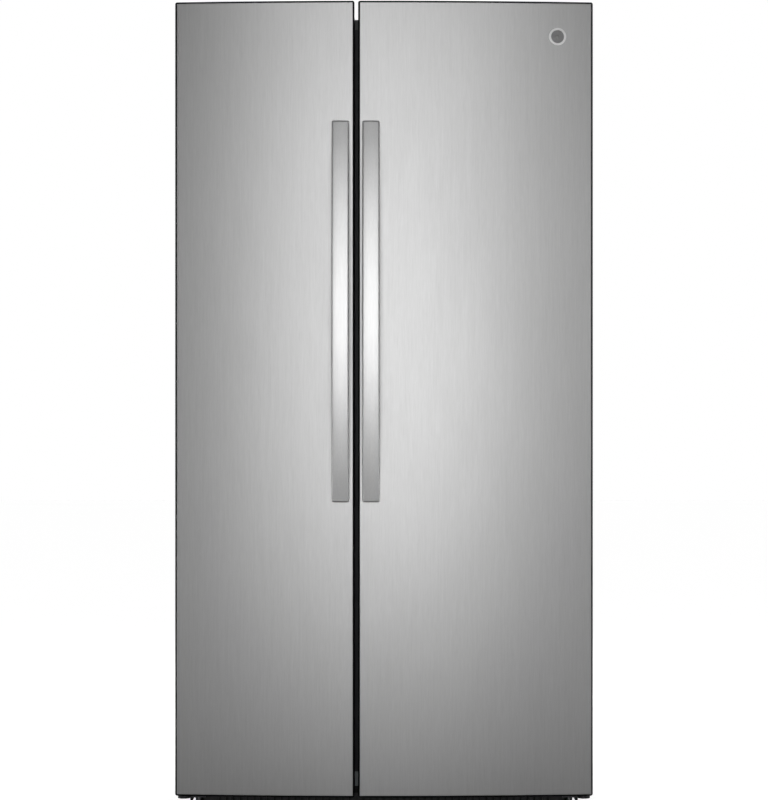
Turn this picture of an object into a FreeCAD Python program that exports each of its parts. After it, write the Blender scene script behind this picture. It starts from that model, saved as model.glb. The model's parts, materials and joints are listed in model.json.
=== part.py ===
"""A free-standing side by side refrigerator, as separate solids: one STEP file per named piece.

Frame: +Z up, the doors face -Y, the freezer is at -X. The origin is on the floor, under the middle of the
overall box. Millimetres.
"""

import FreeCAD
import Part

import math
import os

V = FreeCAD.Vector
X, Y, Z = V(1, 0, 0), V(0, 1, 0), V(0, 0, 1)

# ---- driving dimensions --------------------------------------------------------------------------
WIDTH = 908.0  # across both doors
HEIGHT = 1775.0  # floor to the top of the doors
DEPTH = 890.0  # handle front to the ribs of the rear panel
SEAM_X = -60.0  # middle of the gap between the doors
SEAM_GAP = 8.0
DOOR_BOTTOM = 50.0
DOOR_EDGE_THICKNESS = 62.0  # at the outer edges, where the bowed front is thinnest
DOOR_BOW = 20.0  # how far the middle of the front stands ahead of its outer edges
GASKET_GAP = 12.0  # door back to cabinet front
CASE_TOP = 1750.0
CASE_BOTTOM = 58.0
CASE_DEPTH = 735.0
REAR_RIB = 5.0
SHEET = 1.2  # sheet steel
LINER_WALL = 2.0
PLAY = 0.1  # free space between pieces of one assembly

# ---- planes and outlines that follow -------------------------------------------------------------
SIDE = WIDTH / 2
CASE_SIDE = SIDE - 2.0
HANDLE_FRONT = -DEPTH / 2
CASE_BACK = DEPTH / 2 - REAR_RIB
CASE_FRONT = CASE_BACK - CASE_DEPTH
DOOR_BACK = CASE_FRONT - GASKET_GAP
DOOR_FRONT = DOOR_BACK - DOOR_EDGE_THICKNESS - DOOR_BOW
FRONT_RADIUS = (SIDE**2 + DOOR_BOW**2) / (2 * DOOR_BOW)
FREEZER_DOOR = (-SIDE, SEAM_X - SEAM_GAP / 2)
FRESH_DOOR = (SEAM_X + SEAM_GAP / 2, SIDE)

# ---- compartments: left, right, bottom, top, and the step over the machine room ------------------
FREEZER_X = (-392.0, -97.0)
FRESH_X = (-23.0, 407.0)
ROOM_Z = (120.0, 1695.0)
FREEZER_BACK = 372.0
FRESH_BACK = 385.0
STEP_FOOT_Y = 150.0
STEP_TOP_Y = 200.0
STEP_Z = 330.0
MACHINE_FRONT = 215.0
MACHINE_TOP = 300.0
FLANGE = 22.0  # the case's returned front edge
FLANGE_BOTTOM = 90.0  # top of the bottom pan's front flange

# ---- door hinges ---------------------------------------------------------------------------------
HINGE_X = 438.0
HINGE_Y = CASE_FRONT - 30.0
PIN_R = 6.0
PIN_PLAY = 0.08
DOOR_LEDGE = 1745.0  # top of the door behind its front lip
BOSS_R = 12.5  # the moulded boss round each hinge bore
BOSS_LENGTH = 33.0
LIP_DEPTH = 16.0
DOOR_BEZEL = 3.2  # dark edge round the steel skin
SKIN = 1.2

# ---- what slides and what it clears --------------------------------------------------------------
PULL_FRONT = CASE_FRONT + 110.0  # front of every drawer, basket and bucket
BIN_FRONT = CASE_FRONT + 95.0  # how far the door bins reach in
DYKE_FRONT = CASE_FRONT + 60.0
DYKE_Z = (ROOM_Z[0] + 15.0, ROOM_Z[1] - 15.0)
DYKE_WALL = 26.0
FREEZER_DYKE = (-388.0, -113.0)
FRESH_DYKE = (-10.0, 388.0)
BIN_PLAY = 4.5
LUG = 3.2  # how far the door liner's lugs stand out to carry the bins

# ---- levels --------------------------------------------------------------------------------------
FREEZER_SHELVES = (800.0, 1050.0, 1310.0)
FRESH_SHELVES = (890.0, 1140.0, 1390.0)
FREEZER_BINS = ((175.0, 130.0), (470.0, 110.0), (765.0, 110.0), (1060.0, 110.0), (1355.0, 110.0))
FRESH_BINS = ((175.0, 140.0), (470.0, 115.0), (765.0, 115.0), (1060.0, 115.0))
DAIRY_BIN = (1440.0, 128.0)


# ---- small tools ---------------------------------------------------------------------------------
def box(x0, x1, y0, y1, z0, z1):
    return Part.makeBox(x1 - x0, y1 - y0, z1 - z0, V(x0, y0, z0))


def rod(start, axis, radius, length):
    return Part.makeCylinder(radius, length, start, axis)


def fused(first, *others):
    return first.fuse(list(others)).removeSplitter()


def mirrored(shape):
    return shape.mirror(V(0, 0, 0), X)


def edges_where(shape, test):
    """Edges whose every point, sampled at the ends and the middle, passes the test."""
    found = []
    for edge in shape.Edges:
        first, last = edge.ParameterRange
        points = [edge.valueAt(first + (last - first) * t) for t in (0.0, 0.5, 1.0)]
        if all(test(p) for p in points):
            found.append(edge)
    return found


def rounded_box(x0, x1, y0, y1, z0, z1, radius, along):
    """A box whose four edges along one axis are rounded."""
    shape = box(x0, x1, y0, y1, z0, z1)
    keep = []
    for edge in shape.Edges:
        direction = edge.tangentAt(edge.FirstParameter)
        if abs(abs(direction.dot(along)) - 1) < 1e-6:
            keep.append(edge)
    return shape.makeFillet(radius, keep)


def rounded_wire(points, radii):
    """A closed wire through the points, with an arc of the given radius at each corner."""
    count = len(points)
    starts, ends, arcs = [], [], []
    for i, corner in enumerate(points):
        before, after = points[i - 1], points[(i + 1) % count]
        u, w = (before - corner).normalize(), (after - corner).normalize()
        if radii[i] <= 0:
            starts.append(corner)
            ends.append(corner)
            arcs.append(None)
            continue
        half = u.getAngle(w) / 2
        reach = radii[i] / math.tan(half)
        bisector = (u + w).normalize()
        middle = corner + bisector * (radii[i] / math.sin(half) - radii[i])
        starts.append(corner + u * reach)
        ends.append(corner + w * reach)
        arcs.append(middle)
    edges = []
    for i in range(count):
        if arcs[i] is not None:
            edges.append(Part.Arc(starts[i], arcs[i], ends[i]).toShape())
        nearest = starts[(i + 1) % count]
        if ends[i].distanceToPoint(nearest) > 1e-6:
            edges.append(Part.LineSegment(ends[i], nearest).toShape())
    return Part.Wire(edges)


def extruded(points, radii, direction):
    return Part.Face(rounded_wire(points, radii)).extrude(direction)


def tub(x0, x1, y0, y1, z0, z1, wall, radius, foot=6.0):
    """An open-topped tub with rounded upright corners and a rounded foot."""

    def body(gap, top):
        inner_radius = max(radius - gap, 1.0)
        shape = rounded_box(x0 + gap, x1 - gap, y0 + gap, y1 - gap, z0 + gap, top, inner_radius, Z)
        low = edges_where(shape, lambda p: abs(p.z - z0 - gap) < 1e-6)
        return shape.makeFillet(max(foot - gap, 1.0), low)

    return body(0, z1).cut(body(wall, z1 + 20))


def front_y(x, inset=0.0):
    """Where the bowed door front is at x, or a surface that far inside it."""
    radius = FRONT_RADIUS - inset
    return DOOR_FRONT + FRONT_RADIUS - math.sqrt(radius**2 - x**2)


def bowed(inset):
    """The big upright cylinder whose front is the bowed door front, or one that far inside it."""
    centre = V(0, DOOR_FRONT + FRONT_RADIUS, -100)
    return Part.makeCylinder(FRONT_RADIUS - inset, HEIGHT + 200, centre, Z)


os.makedirs("parts", exist_ok=True)


def save(name, *solids):
    shape = solids[0] if len(solids) == 1 else Part.makeCompound(list(solids))
    for solid in shape.Solids:
        if not solid.isValid() or solid.Volume <= 0:
            print("BAD SOLID in", name, solid.Volume)
    shape.exportStep(f"parts/{name}.step")
    print(f"{name}: {len(shape.Solids)} solids, {len(shape.Faces)} faces, {shape.Volume / 1e6:.3f} l")


# ---- cabinet -------------------------------------------------------------------------------------
HINGE_SCREWS = ((404.0, -272.0), (438.0, -235.0), (404.0, -215.0))
LOW_SCREWS = ((402.0, 70.0), (436.0, 76.0))
COVER_SCREWS = ((-420.0, 286.0), (-210.0, 286.0), (0.0, 286.0), (210.0, 286.0), (420.0, 286.0),
                (-300.0, 66.0), (0.0, 66.0), (300.0, 66.0))
COVER_FRONT = CASE_BACK - 1.5
SCREW_R = 2.5
COVER_HEAD_R = 5.5
FLAT_HEAD_R = 5.0


def screw_holes(extra):
    """The shanks of the hinge screws, that much fatter, on both sides."""
    holes = []
    for x, y in HINGE_SCREWS:
        holes.append(rod(V(x, y, CASE_TOP - 16), Z, SCREW_R + extra, 24))
    for x, z in LOW_SCREWS:
        holes.append(rod(V(x, CASE_FRONT - 6, z), Y, SCREW_R + extra, 24))
    return holes + [mirrored(h) for h in holes]


def cover_screw_holes():
    return [rod(V(x, CASE_BACK - 15, z), Y, SCREW_R + 0.05, 20) for x, z in COVER_SCREWS]


def cavity(sides, back, grow):
    """The space inside a liner, or that space grown by the liner's wall, open to the front."""
    front = CASE_FRONT - 30.0
    low, high = ROOM_Z
    profile = [V(0, front, low), V(0, STEP_FOOT_Y, low), V(0, STEP_TOP_Y, STEP_Z), V(0, back, STEP_Z),
               V(0, back, high), V(0, front, high)]
    wire = rounded_wire(profile, [0, 22, 22, 22, 22, 0])
    if grow:
        wire = wire.makeOffset2D(grow)
    left, right = sides[0] - grow, sides[1] + grow
    face = Part.Face(wire)
    face.translate(V(left, 0, 0))
    shape = face.extrude(V(right - left, 0, 0))
    rim = []
    for side in (left, right):
        rim += edges_where(shape, lambda p, s=side: abs(p.x - s) < 1e-6)
    rim = [e for e in rim if not all(abs(v.Point.y - front + grow) < 1e-3 for v in e.Vertexes)]
    shape = shape.makeFillet(14.0 + grow, rim)
    return shape.common(box(-SIDE, SIDE, CASE_FRONT, CASE_BACK, 0, HEIGHT))


def inside(shape, sides, back):
    """The part of a fitting that stays just clear of its liner's rounded corners."""
    return shape.common(cavity(sides, back, -0.2))


def liner(sides, back, flange_sides):
    """A thermoformed tub with a front flange on its outer side, above and below."""
    shell = cavity(sides, back, LINER_WALL)
    y0, y1 = CASE_FRONT, CASE_FRONT + LINER_WALL
    flange = box(flange_sides[0], flange_sides[1], y0, y1, FLANGE_BOTTOM + PLAY, CASE_TOP - FLANGE - PLAY)
    return shell.fuse(flange).cut(cavity(sides, back, 0))


def ledge_pair(sides, widths, y0, y1, z0, z1):
    """Two moulded ledges on a compartment's side walls, sunk a little into the walls."""
    left = box(sides[0] - 1, sides[0] + widths[0], y0, y1, z0, z1)
    right = box(sides[1] - widths[1], sides[1] + 1, y0, y1, z0, z1)
    return [left, right]


BASKET_UPPER = (520.0, 735.0)
BASKET_LOWER = (150.0, 440.0)
BASKET_RIM = 3.0
RAIL_WIDTHS = (14.0, 8.0)
TRIM_X = (FREEZER_X[1] + LINER_WALL + PLAY, FRESH_X[0] - LINER_WALL - PLAY)


def make_cabinet():
    back_inside = CASE_BACK - SHEET

    case = box(-CASE_SIDE, CASE_SIDE, CASE_FRONT, CASE_BACK, CASE_BOTTOM, CASE_TOP)
    long_edges = edges_where(case, lambda p: p.z > CASE_TOP - 0.001 and abs(p.x) > CASE_SIDE - 0.001)
    case = case.makeFillet(3.0, long_edges)
    inside = box(-CASE_SIDE + SHEET, CASE_SIDE - SHEET, CASE_FRONT + SHEET, CASE_BACK + 1,
                 CASE_BOTTOM - 1, CASE_TOP - SHEET)
    mouth = box(-CASE_SIDE + FLANGE, CASE_SIDE - FLANGE, CASE_FRONT - 1, CASE_FRONT + SHEET + 1,
                CASE_BOTTOM - 1, CASE_TOP - FLANGE)
    case = case.cut([inside, mouth] + screw_holes(0.05))
    save("outer_case", case)

    inner_x = CASE_SIDE - SHEET - PLAY
    panel = box(-inner_x, inner_x, back_inside, CASE_BACK, MACHINE_TOP + 1, CASE_TOP - SHEET - PLAY)
    ribs = []
    for x in (-330.0, -165.0, 0.0, 165.0, 330.0):
        rib = rounded_box(x - 11, x + 11, CASE_BACK - 0.5, CASE_BACK + REAR_RIB, 390, 1670, 8, Y)
        ribs.append(rib.makeChamfer(3.0, edges_where(rib, lambda p: p.y > CASE_BACK + REAR_RIB - 0.01)))
    save("rear_panel", fused(panel, *ribs))

    pan_y = CASE_FRONT + SHEET + 0.05
    bulkhead_y = MACHINE_FRONT - SHEET
    lip_back = COVER_FRONT - PLAY
    mouth_x = CASE_SIDE - FLANGE - PLAY
    pan_front = box(-inner_x, inner_x, pan_y, pan_y + SHEET, CASE_BOTTOM, FLANGE_BOTTOM)
    pan_mouth = box(-mouth_x, mouth_x, CASE_FRONT, pan_y + 0.01, CASE_BOTTOM, FLANGE_BOTTOM)
    pan_floor = box(-inner_x, inner_x, pan_y, MACHINE_FRONT, CASE_BOTTOM, CASE_BOTTOM + SHEET)
    bulkhead = box(-inner_x, inner_x, bulkhead_y, MACHINE_FRONT, CASE_BOTTOM, MACHINE_TOP)
    ceiling = box(-inner_x, inner_x, bulkhead_y, lip_back, MACHINE_TOP - SHEET, MACHINE_TOP)
    lip = box(-inner_x, inner_x, lip_back - SHEET, lip_back, MACHINE_TOP - 26, MACHINE_TOP)
    pan = fused(pan_front, pan_mouth, pan_floor, bulkhead, ceiling, lip)
    save("bottom_pan", pan.cut(screw_holes(0.05) + cover_screw_holes()))

    foam = box(-inner_x, inner_x, CASE_FRONT + 2 * SHEET + PLAY + 0.05, back_inside - PLAY,
               CASE_BOTTOM + SHEET + PLAY, CASE_TOP - SHEET - PLAY)
    machine_room = box(-SIDE, SIDE, bulkhead_y - PLAY, CASE_BACK, 0, MACHINE_TOP + PLAY)
    hollows = [cavity(FREEZER_X, FREEZER_BACK, LINER_WALL + PLAY),
               cavity(FRESH_X, FRESH_BACK, LINER_WALL + PLAY), machine_room]
    save("foam_insulation", foam.cut(hollows + screw_holes(0.05)))

    freezer = liner(FREEZER_X, FREEZER_BACK, (-CASE_SIDE + FLANGE + PLAY, FREEZER_X[1] + LINER_WALL))
    ledges = []
    for _, top in (BASKET_UPPER, BASKET_LOWER):
        shelf_z = top - BASKET_RIM - 0.3
        depth = 280.0 if top > STEP_Z + 200 else 120.0
        ledges += ledge_pair(FREEZER_X, RAIL_WIDTHS, PULL_FRONT + 14, depth, shelf_z - 9, shelf_z)
    for level in FREEZER_SHELVES:
        ledges += ledge_pair(FREEZER_X, (9.0, 9.0), PULL_FRONT + 10, 285.0, level - 22, level - 12.2)
    save("freezer_liner", fused(freezer, *ledges))

    fresh = liner(FRESH_X, FRESH_BACK, (FRESH_X[0] - LINER_WALL, CASE_SIDE - FLANGE - PLAY))
    save("fresh_food_liner", fresh)

    trim = rounded_box(TRIM_X[0], TRIM_X[1], CASE_FRONT, CASE_FRONT + LINER_WALL,
                       FLANGE_BOTTOM + PLAY, CASE_TOP - FLANGE - PLAY, 1.5, Y)
    save("mullion_trim", trim)


# ---- base, feet and rollers ----------------------------------------------------------------------
RAIL_X = 412.0
RAIL_FRONT = -285.0
RAIL_BACK = 425.0
LEG_Y = -262.0
FRONT_ROLLER = (-195.0, 24.0, 22.0)  # y, axle height, radius
REAR_ROLLER = (392.0, 22.0, 22.0)
AXLE_R = 4.0
STUD_R = 5.0
TRAY_Z = 42.0
RAIL_TOP = CASE_BOTTOM - PLAY
RAIL_WEB = 3.0
RAIL_HALF = 17.0


def hexagon(across_flats, height, base):
    radius = across_flats / math.sqrt(3)
    points = [base + V(radius * math.cos(a), radius * math.sin(a), 0)
              for a in (math.radians(30 + 60 * i) for i in range(6))]
    return Part.Face(Part.makePolygon(points + points[:1])).extrude(V(0, 0, height))


def make_base():
    rails = []
    holes = []
    for side in (-1, 1):
        x = side * RAIL_X
        rails.append(box(x - RAIL_HALF, x + RAIL_HALF, RAIL_FRONT, RAIL_BACK, RAIL_TOP - RAIL_WEB, RAIL_TOP))
        for edge in (-1, 1):
            web = x + edge * (RAIL_HALF - RAIL_WEB / 2)
            rails.append(box(web - RAIL_WEB / 2, web + RAIL_WEB / 2, RAIL_FRONT, RAIL_BACK, 18, RAIL_TOP))
        rails.append(rod(V(x, LEG_Y, 36), Z, 11.0, RAIL_TOP - 36))
        holes.append(rod(V(x, LEG_Y, 30), Z, STUD_R + 0.08, 40))
        for y, z, _ in (FRONT_ROLLER, REAR_ROLLER):
            holes.append(rod(V(x - 30, y, z), X, AXLE_R + 0.05, 60))
    inner = RAIL_X - RAIL_HALF
    lip_back = COVER_FRONT - PLAY
    cross = [box(-inner - 2, inner + 2, RAIL_FRONT, RAIL_FRONT + RAIL_WEB, 20, RAIL_TOP),
             box(-inner - 2, inner + 2, RAIL_FRONT + RAIL_WEB, -250, 20, 23),
             box(-inner - 2, inner + 2, 222, lip_back, TRAY_Z - 2, TRAY_Z),
             box(-inner + 2, inner - 2, lip_back - SHEET, lip_back, TRAY_Z - 2, 76)]
    save("base_frame", fused(rails[0], *rails[1:], *cross).cut(holes + cover_screw_holes()))

    axles = []
    for side in (-1, 1):
        for y, z, _ in (FRONT_ROLLER, REAR_ROLLER):
            axle = rod(V(side * (RAIL_X - 20), y, z), X * side, AXLE_R, 40)
            head = rod(V(side * (RAIL_X + 17.2), y, z), X * side, 7.0, 2.5)
            axles.append(axle.fuse(head).removeSplitter())
    save("roller_axles", *axles)

    for name, (y, z, radius) in (("front_rollers", FRONT_ROLLER), ("rear_rollers", REAR_ROLLER)):
        wheels = []
        for side in (-1, 1):
            start = side * RAIL_X - 11.5
            tyre = rod(V(start, y, z), X, radius, 23)
            tyre = tyre.makeFillet(2.5, [e for e in tyre.Edges if e.Curve.TypeId == "Part::GeomCircle"])
            dishes = [rod(V(start - 1, y, z), X, 16, 5), rod(V(start + 19, y, z), X, 16, 5)]
            hub = rod(V(start, y, z), X, 8, 23)
            bore = rod(V(start - 5, y, z), X, AXLE_R + 0.08, 40)
            wheels.append(tyre.cut(dishes).fuse(hub).cut(bore).removeSplitter())
        save(name, *wheels)

    for name, side in (("levelling_leg_left", -1), ("levelling_leg_right", 1)):
        x = side * RAIL_X
        foot = Part.makeCone(19, 13, 8, V(x, LEG_Y, 2), Z)
        pad = rod(V(x, LEG_Y, 0), Z, 19, 2)
        nut = hexagon(19, 7, V(x, LEG_Y, 10))
        save(name, fused(pad, foot, nut, rod(V(x, LEG_Y, 10), Z, STUD_R, 44)))

    grille = rounded_box(-382, 382, -320, -312, 12, 46, 5, Y)
    returns = [box(-382, -376, -313, -285.2, 16, 44), box(376, 382, -313, -285.2, 16, 44)]
    slots = [rounded_box(x - 3, x + 3, -325, -305, 18, 40, 2.9, Y) for x in range(-360, 361, 15)]
    save("toe_grille", fused(grille, *returns).cut(slots))


# ---- hinges --------------------------------------------------------------------------------------
def make_hinges():
    brackets = []
    nose = rod(V(HINGE_X, HINGE_Y, CASE_TOP), Z, 14, 5)
    arm = box(HINGE_X - 14, HINGE_X + 14, HINGE_Y, -180, CASE_TOP, CASE_TOP + 5)
    leaf = rounded_box(388, HINGE_X + 12, -284, -180, CASE_TOP, CASE_TOP + 5, 6, Z)
    collar = rod(V(HINGE_X, HINGE_Y, DOOR_LEDGE + 0.4), Z, 10, CASE_TOP - DOOR_LEDGE)
    pin = rod(V(HINGE_X, HINGE_Y, DOOR_LEDGE - 22), Z, PIN_R, CASE_TOP + 5 - DOOR_LEDGE + 22)
    top = fused(nose, arm, leaf, collar, pin)
    for x, y in HINGE_SCREWS:
        top = top.cut(rod(V(x, y, CASE_TOP - 1), Z, SCREW_R + 0.05, 10))
    brackets += [top, mirrored(top)]

    plate_z = DOOR_BOTTOM - 12
    nose = rod(V(HINGE_X, HINGE_Y, plate_z), Z, 14, 5)
    arm = box(392, HINGE_X + 8, HINGE_Y, CASE_FRONT, plate_z, plate_z + 5)
    nose_side = box(HINGE_X - 14, HINGE_X + 14, HINGE_Y - 0.1, HINGE_Y + 1, plate_z, plate_z + 5)
    flange = rounded_box(392, HINGE_X + 8, CASE_FRONT - 4, CASE_FRONT, plate_z, 88, 4, Y)
    gusset = extruded([V(395, CASE_FRONT - 3, plate_z + 4), V(395, CASE_FRONT - 24, plate_z + 4),
                       V(395, CASE_FRONT - 3, plate_z + 11)], [0, 0, 0], V(4, 0, 0))
    collar = rod(V(HINGE_X, HINGE_Y, plate_z + 5), Z, 11, 6.6)
    pin = rod(V(HINGE_X, HINGE_Y, plate_z), Z, PIN_R, 34)
    low = fused(nose, nose_side, arm, flange, gusset, collar, pin)
    for x, z in LOW_SCREWS:
        low = low.cut([rod(V(x, CASE_FRONT - 5, z), Y, SCREW_R + 0.05, 10),
                       rod(V(x, CASE_FRONT - 5, z), Y, FLAT_HEAD_R + 0.05, 4)])
    brackets += [low, mirrored(low)]
    save("door_hinges", *brackets)

    shell = rounded_box(338, CASE_SIDE - 1, CASE_FRONT + 2, -168, CASE_TOP, CASE_TOP + 22, 7, Z)
    shell = shell.makeFillet(5, edges_where(shell, lambda p: abs(p.z - CASE_TOP - 22) < 1e-6))
    hollow = rounded_box(340.5, CASE_SIDE - 3.5, CASE_FRONT + 4.5, -170.5, CASE_TOP - 1, CASE_TOP + 19.5,
                         4.5, Z)
    slot = box(HINGE_X - 14.5, CASE_SIDE + 1, CASE_FRONT - 5, -172, CASE_TOP - 1, CASE_TOP + 5.4)
    leaf_slot = box(387, CASE_SIDE, CASE_FRONT + 3, -175, CASE_TOP - 1, CASE_TOP + 5.4)
    cover = shell.cut([hollow, slot, leaf_slot])
    save("hinge_covers", cover, mirrored(cover))

    screws = []
    for side in (-1, 1):
        for x, y in HINGE_SCREWS:
            head = hexagon(10, 4, V(side * x, y, CASE_TOP + 5))
            screws.append(fused(head, rod(V(side * x, y, CASE_TOP - 15), Z, SCREW_R, 20)))
        for x, z in LOW_SCREWS:
            head = rod(V(side * x, CASE_FRONT - 4, z), Y, FLAT_HEAD_R, 2.9)
            screws.append(fused(head, rod(V(side * x, CASE_FRONT - 4, z), Y, SCREW_R, 20)))
    for x, z in COVER_SCREWS:
        head = rod(V(x, CASE_BACK, z), Y, COVER_HEAD_R, 2.5)
        screws.append(fused(head, rod(V(x, CASE_BACK - 10, z), Y, SCREW_R, 10.5)))
    save("case_screws", *screws)


# ---- doors ---------------------------------------------------------------------------------------
def door_outline(sides):
    """Full-thickness slab up to the ledge, and the front lip that hides the hinge above it."""
    x0, x1 = sides
    block = rounded_box(x0, x1, DOOR_FRONT - 5, DOOR_BACK, DOOR_BOTTOM, HEIGHT, 4.5, Y)
    block = block.common(bowed(0))
    block = block.makeFillet(2.4, edges_where(block, lambda p: abs(p.y - front_y(p.x)) < 1e-3))
    above_ledge = box(x0 - 1, x1 + 1, DOOR_FRONT - 5, DOOR_BACK + 1, DOOR_LEDGE, HEIGHT + 1)
    return block.cut(above_ledge.common(bowed(LIP_DEPTH)))


def dyke_walls(dyke, bins):
    """The raised ring of the door liner in four straight walls, with the lugs that carry the bins."""
    left, right = dyke[0] + DYKE_WALL, dyke[1] - DYKE_WALL
    low, high = DYKE_Z[0] + DYKE_WALL, DYKE_Z[1] - DYKE_WALL
    block = rounded_box(dyke[0], dyke[1], DOOR_BACK, DYKE_FRONT, *DYKE_Z, 22, Y)
    block = block.makeFillet(6, edges_where(block, lambda p: abs(p.y - DYKE_FRONT) < 1e-6))
    depth = (DOOR_BACK, DYKE_FRONT)
    walls = []
    uprights = ((dyke[0], left, (left - 1, left + LUG)), (right, dyke[1], (right - LUG, right + 1)))
    for x0, x1, lug_x in uprights:
        lugs = [box(*lug_x, DOOR_BACK + 14, DOOR_BACK + 44, lug_top(b) - 24, lug_top(b)) for b in bins]
        walls.append(fused(block.common(box(x0, x1, *depth, *DYKE_Z)), *lugs))
    for z0, z1 in ((DYKE_Z[0], low), (high, DYKE_Z[1])):
        walls.append(block.common(box(left, right, *depth, z0, z1)))
    return walls


def lug_top(door_bin):
    """Where a bin's hooks sit, a little under its rim."""
    level, height = door_bin
    return level + height - 40


def make_door(name, sides, dyke, opening, hinge_side, bins):
    x0, x1 = sides
    hinge = hinge_side * HINGE_X
    inset = (x0 + DOOR_BEZEL, x1 - DOOR_BEZEL)
    core_top = DOOR_LEDGE - 2.6

    recess = box(*inset, DOOR_FRONT - 5, DOOR_BACK, DOOR_BOTTOM + DOOR_BEZEL, HEIGHT - DOOR_BEZEL)
    recess = recess.cut(bowed(SKIN + 0.15))
    core = box(*inset, DOOR_FRONT - 5, DOOR_BACK + 1, DOOR_BOTTOM + DOOR_BEZEL, core_top)
    bosses = [rod(V(hinge, HINGE_Y, z), Z, BOSS_R, BOSS_LENGTH) for z in (DOOR_LEDGE - 34, DOOR_BOTTOM + 1)]
    boss_room = core.common(box(x0, x1, DOOR_FRONT, DOOR_BACK - 3, 0, HEIGHT))
    frame = door_outline(sides).cut([recess, core])
    frame = frame.fuse([b.common(boss_room) for b in bosses])
    frame = frame.cut([rod(V(hinge, HINGE_Y, DOOR_LEDGE - 24), Z, PIN_R + PIN_PLAY, 40),
                       rod(V(hinge, HINGE_Y, DOOR_BOTTOM - 5), Z, PIN_R + PIN_PLAY, 30)])
    save(f"{name}_door_frame", frame.removeSplitter())

    sheet = box(inset[0] + 0.05, inset[1] - 0.05, DOOR_FRONT - 5, DOOR_BACK,
                DOOR_BOTTOM + DOOR_BEZEL + 0.05, HEIGHT - DOOR_BEZEL - 0.05)
    save(f"{name}_door_skin", sheet.common(bowed(0)).cut(bowed(SKIN)))

    plate_front = DOOR_BACK - LINER_WALL
    core_z = (DOOR_BOTTOM + DOOR_BEZEL + PLAY, core_top - PLAY)
    foam = box(inset[0] + PLAY, inset[1] - PLAY, DOOR_FRONT - 5, plate_front - PLAY, *core_z)
    foam = foam.common(bowed(SKIN + 0.25))
    wells = [rod(V(hinge, HINGE_Y, DOOR_LEDGE - 36), Z, BOSS_R + 0.2, 60),
             rod(V(hinge, HINGE_Y, DOOR_BOTTOM - 5), Z, BOSS_R + 0.2, 41)]
    save(f"{name}_door_foam", foam.cut(wells))

    plate = box(inset[0] + PLAY, inset[1] - PLAY, plate_front, DOOR_BACK, *core_z)
    save(f"{name}_door_liner", plate, *dyke_walls(dyke, bins))

    outer = box(opening[0], opening[1], DOOR_BACK, CASE_FRONT - 0.4, 92, 1723)
    hole = box(opening[0] + 20, opening[1] - 20, DOOR_BACK - 1, CASE_FRONT, 112, 1703)
    save(f"{name}_door_gasket", outer.cut(hole))

    bin_x = (dyke[0] + DYKE_WALL + BIN_PLAY, dyke[1] - DYKE_WALL - BIN_PLAY)
    trays = []
    for level, height in bins:
        tray = tub(bin_x[0], bin_x[1], DOOR_BACK + 3, BIN_FRONT, level, level + height, 2.4, 16)
        z = lug_top((level, height))
        hooks = [box(bin_x[0] - LUG, bin_x[0] + 1, DOOR_BACK + 16, DOOR_BACK + 42, z + 0.3, z + 12),
                 box(bin_x[1] - 1, bin_x[1] + LUG, DOOR_BACK + 16, DOOR_BACK + 42, z + 0.3, z + 12)]
        trays.append(fused(tray, *hooks))
    save(f"{name}_door_bins", *trays)


HANDLE_Z = (690.0, 1513.0)
HANDLE_WIDTH = 37.0
HANDLE_X = (-94.0, -28.0)
HANDLE_END_DEPTH = 20.0  # how far its ends stand off the door
HANDLE_THICK = 15.0
HANDLE_FOOT = 60.0


def handle(centre_x):
    """A gently arched flat bar whose two ends meet the door."""
    low, high = HANDLE_Z
    middle = (low + high) / 2
    end_y = DOOR_FRONT - HANDLE_END_DEPTH
    into_door = DOOR_FRONT + 4

    def slab(front_end, front_middle, z0, z1, x0, x1):
        arc = Part.Arc(V(x0, front_end, z0), V(x0, front_middle, middle), V(x0, front_end, z1)).toShape()
        sides = [Part.LineSegment(V(x0, front_end, z1), V(x0, into_door, z1)).toShape(),
                 Part.LineSegment(V(x0, into_door, z1), V(x0, into_door, z0)).toShape(),
                 Part.LineSegment(V(x0, into_door, z0), V(x0, front_end, z0)).toShape()]
        return Part.Face(Part.Wire([arc] + sides)).extrude(V(x1 - x0, 0, 0))

    x0, x1 = centre_x - HANDLE_WIDTH / 2, centre_x + HANDLE_WIDTH / 2
    bar = slab(end_y, HANDLE_FRONT, low, high, x0, x1)
    bar = bar.makeFillet(3.0, edges_where(bar, lambda p: p.y < end_y + 0.5))
    radius = ((high - low) ** 2 / 4 + (end_y - HANDLE_FRONT) ** 2) / (2 * (end_y - HANDLE_FRONT))
    inner_half = (high - low) / 2 - HANDLE_FOOT
    inner_end = HANDLE_FRONT + radius - math.sqrt((radius - HANDLE_THICK) ** 2 - inner_half**2)
    grip = slab(inner_end, HANDLE_FRONT + HANDLE_THICK, middle - inner_half, middle + inner_half,
                x0 - 5, x1 + 5)
    corners = edges_where(grip, lambda p: abs(p.y - inner_end) < 1e-3)
    grip = grip.makeFillet(9.0, corners)
    return bar.cut([grip, bowed(-0.05)])


BADGE = (376.5, 1699.0)
BADGE_R = 18.9


def badge():
    """A plain round badge: a raised rim round a dished disc, square to the bowed front."""
    x, z = BADGE
    angle = math.asin(x / FRONT_RADIUS)
    normal = V(math.sin(angle), -math.cos(angle), 0)
    base = V(x, front_y(x), z) + normal * 0.05
    disc = Part.makeCylinder(BADGE_R, 3.0, base, normal)
    disc = disc.makeFillet(0.9, [e for e in disc.Edges
                                 if e.Curve.TypeId == "Part::GeomCircle"
                                 and (e.Curve.Center - base).dot(normal) > 1])
    dish = Part.makeCylinder(BADGE_R - 2.6, 3.0, base + normal * 1.9, normal)
    dome = Part.makeCone(7.0, 5.6, 0.9, base + normal * 1.8, normal)
    return fused(disc.cut(dish), dome)


DAIRY_X = (28.0, 350.0)
FLAP_PIVOT = (BIN_FRONT - 2.0, 1590.0)  # y, z


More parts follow.
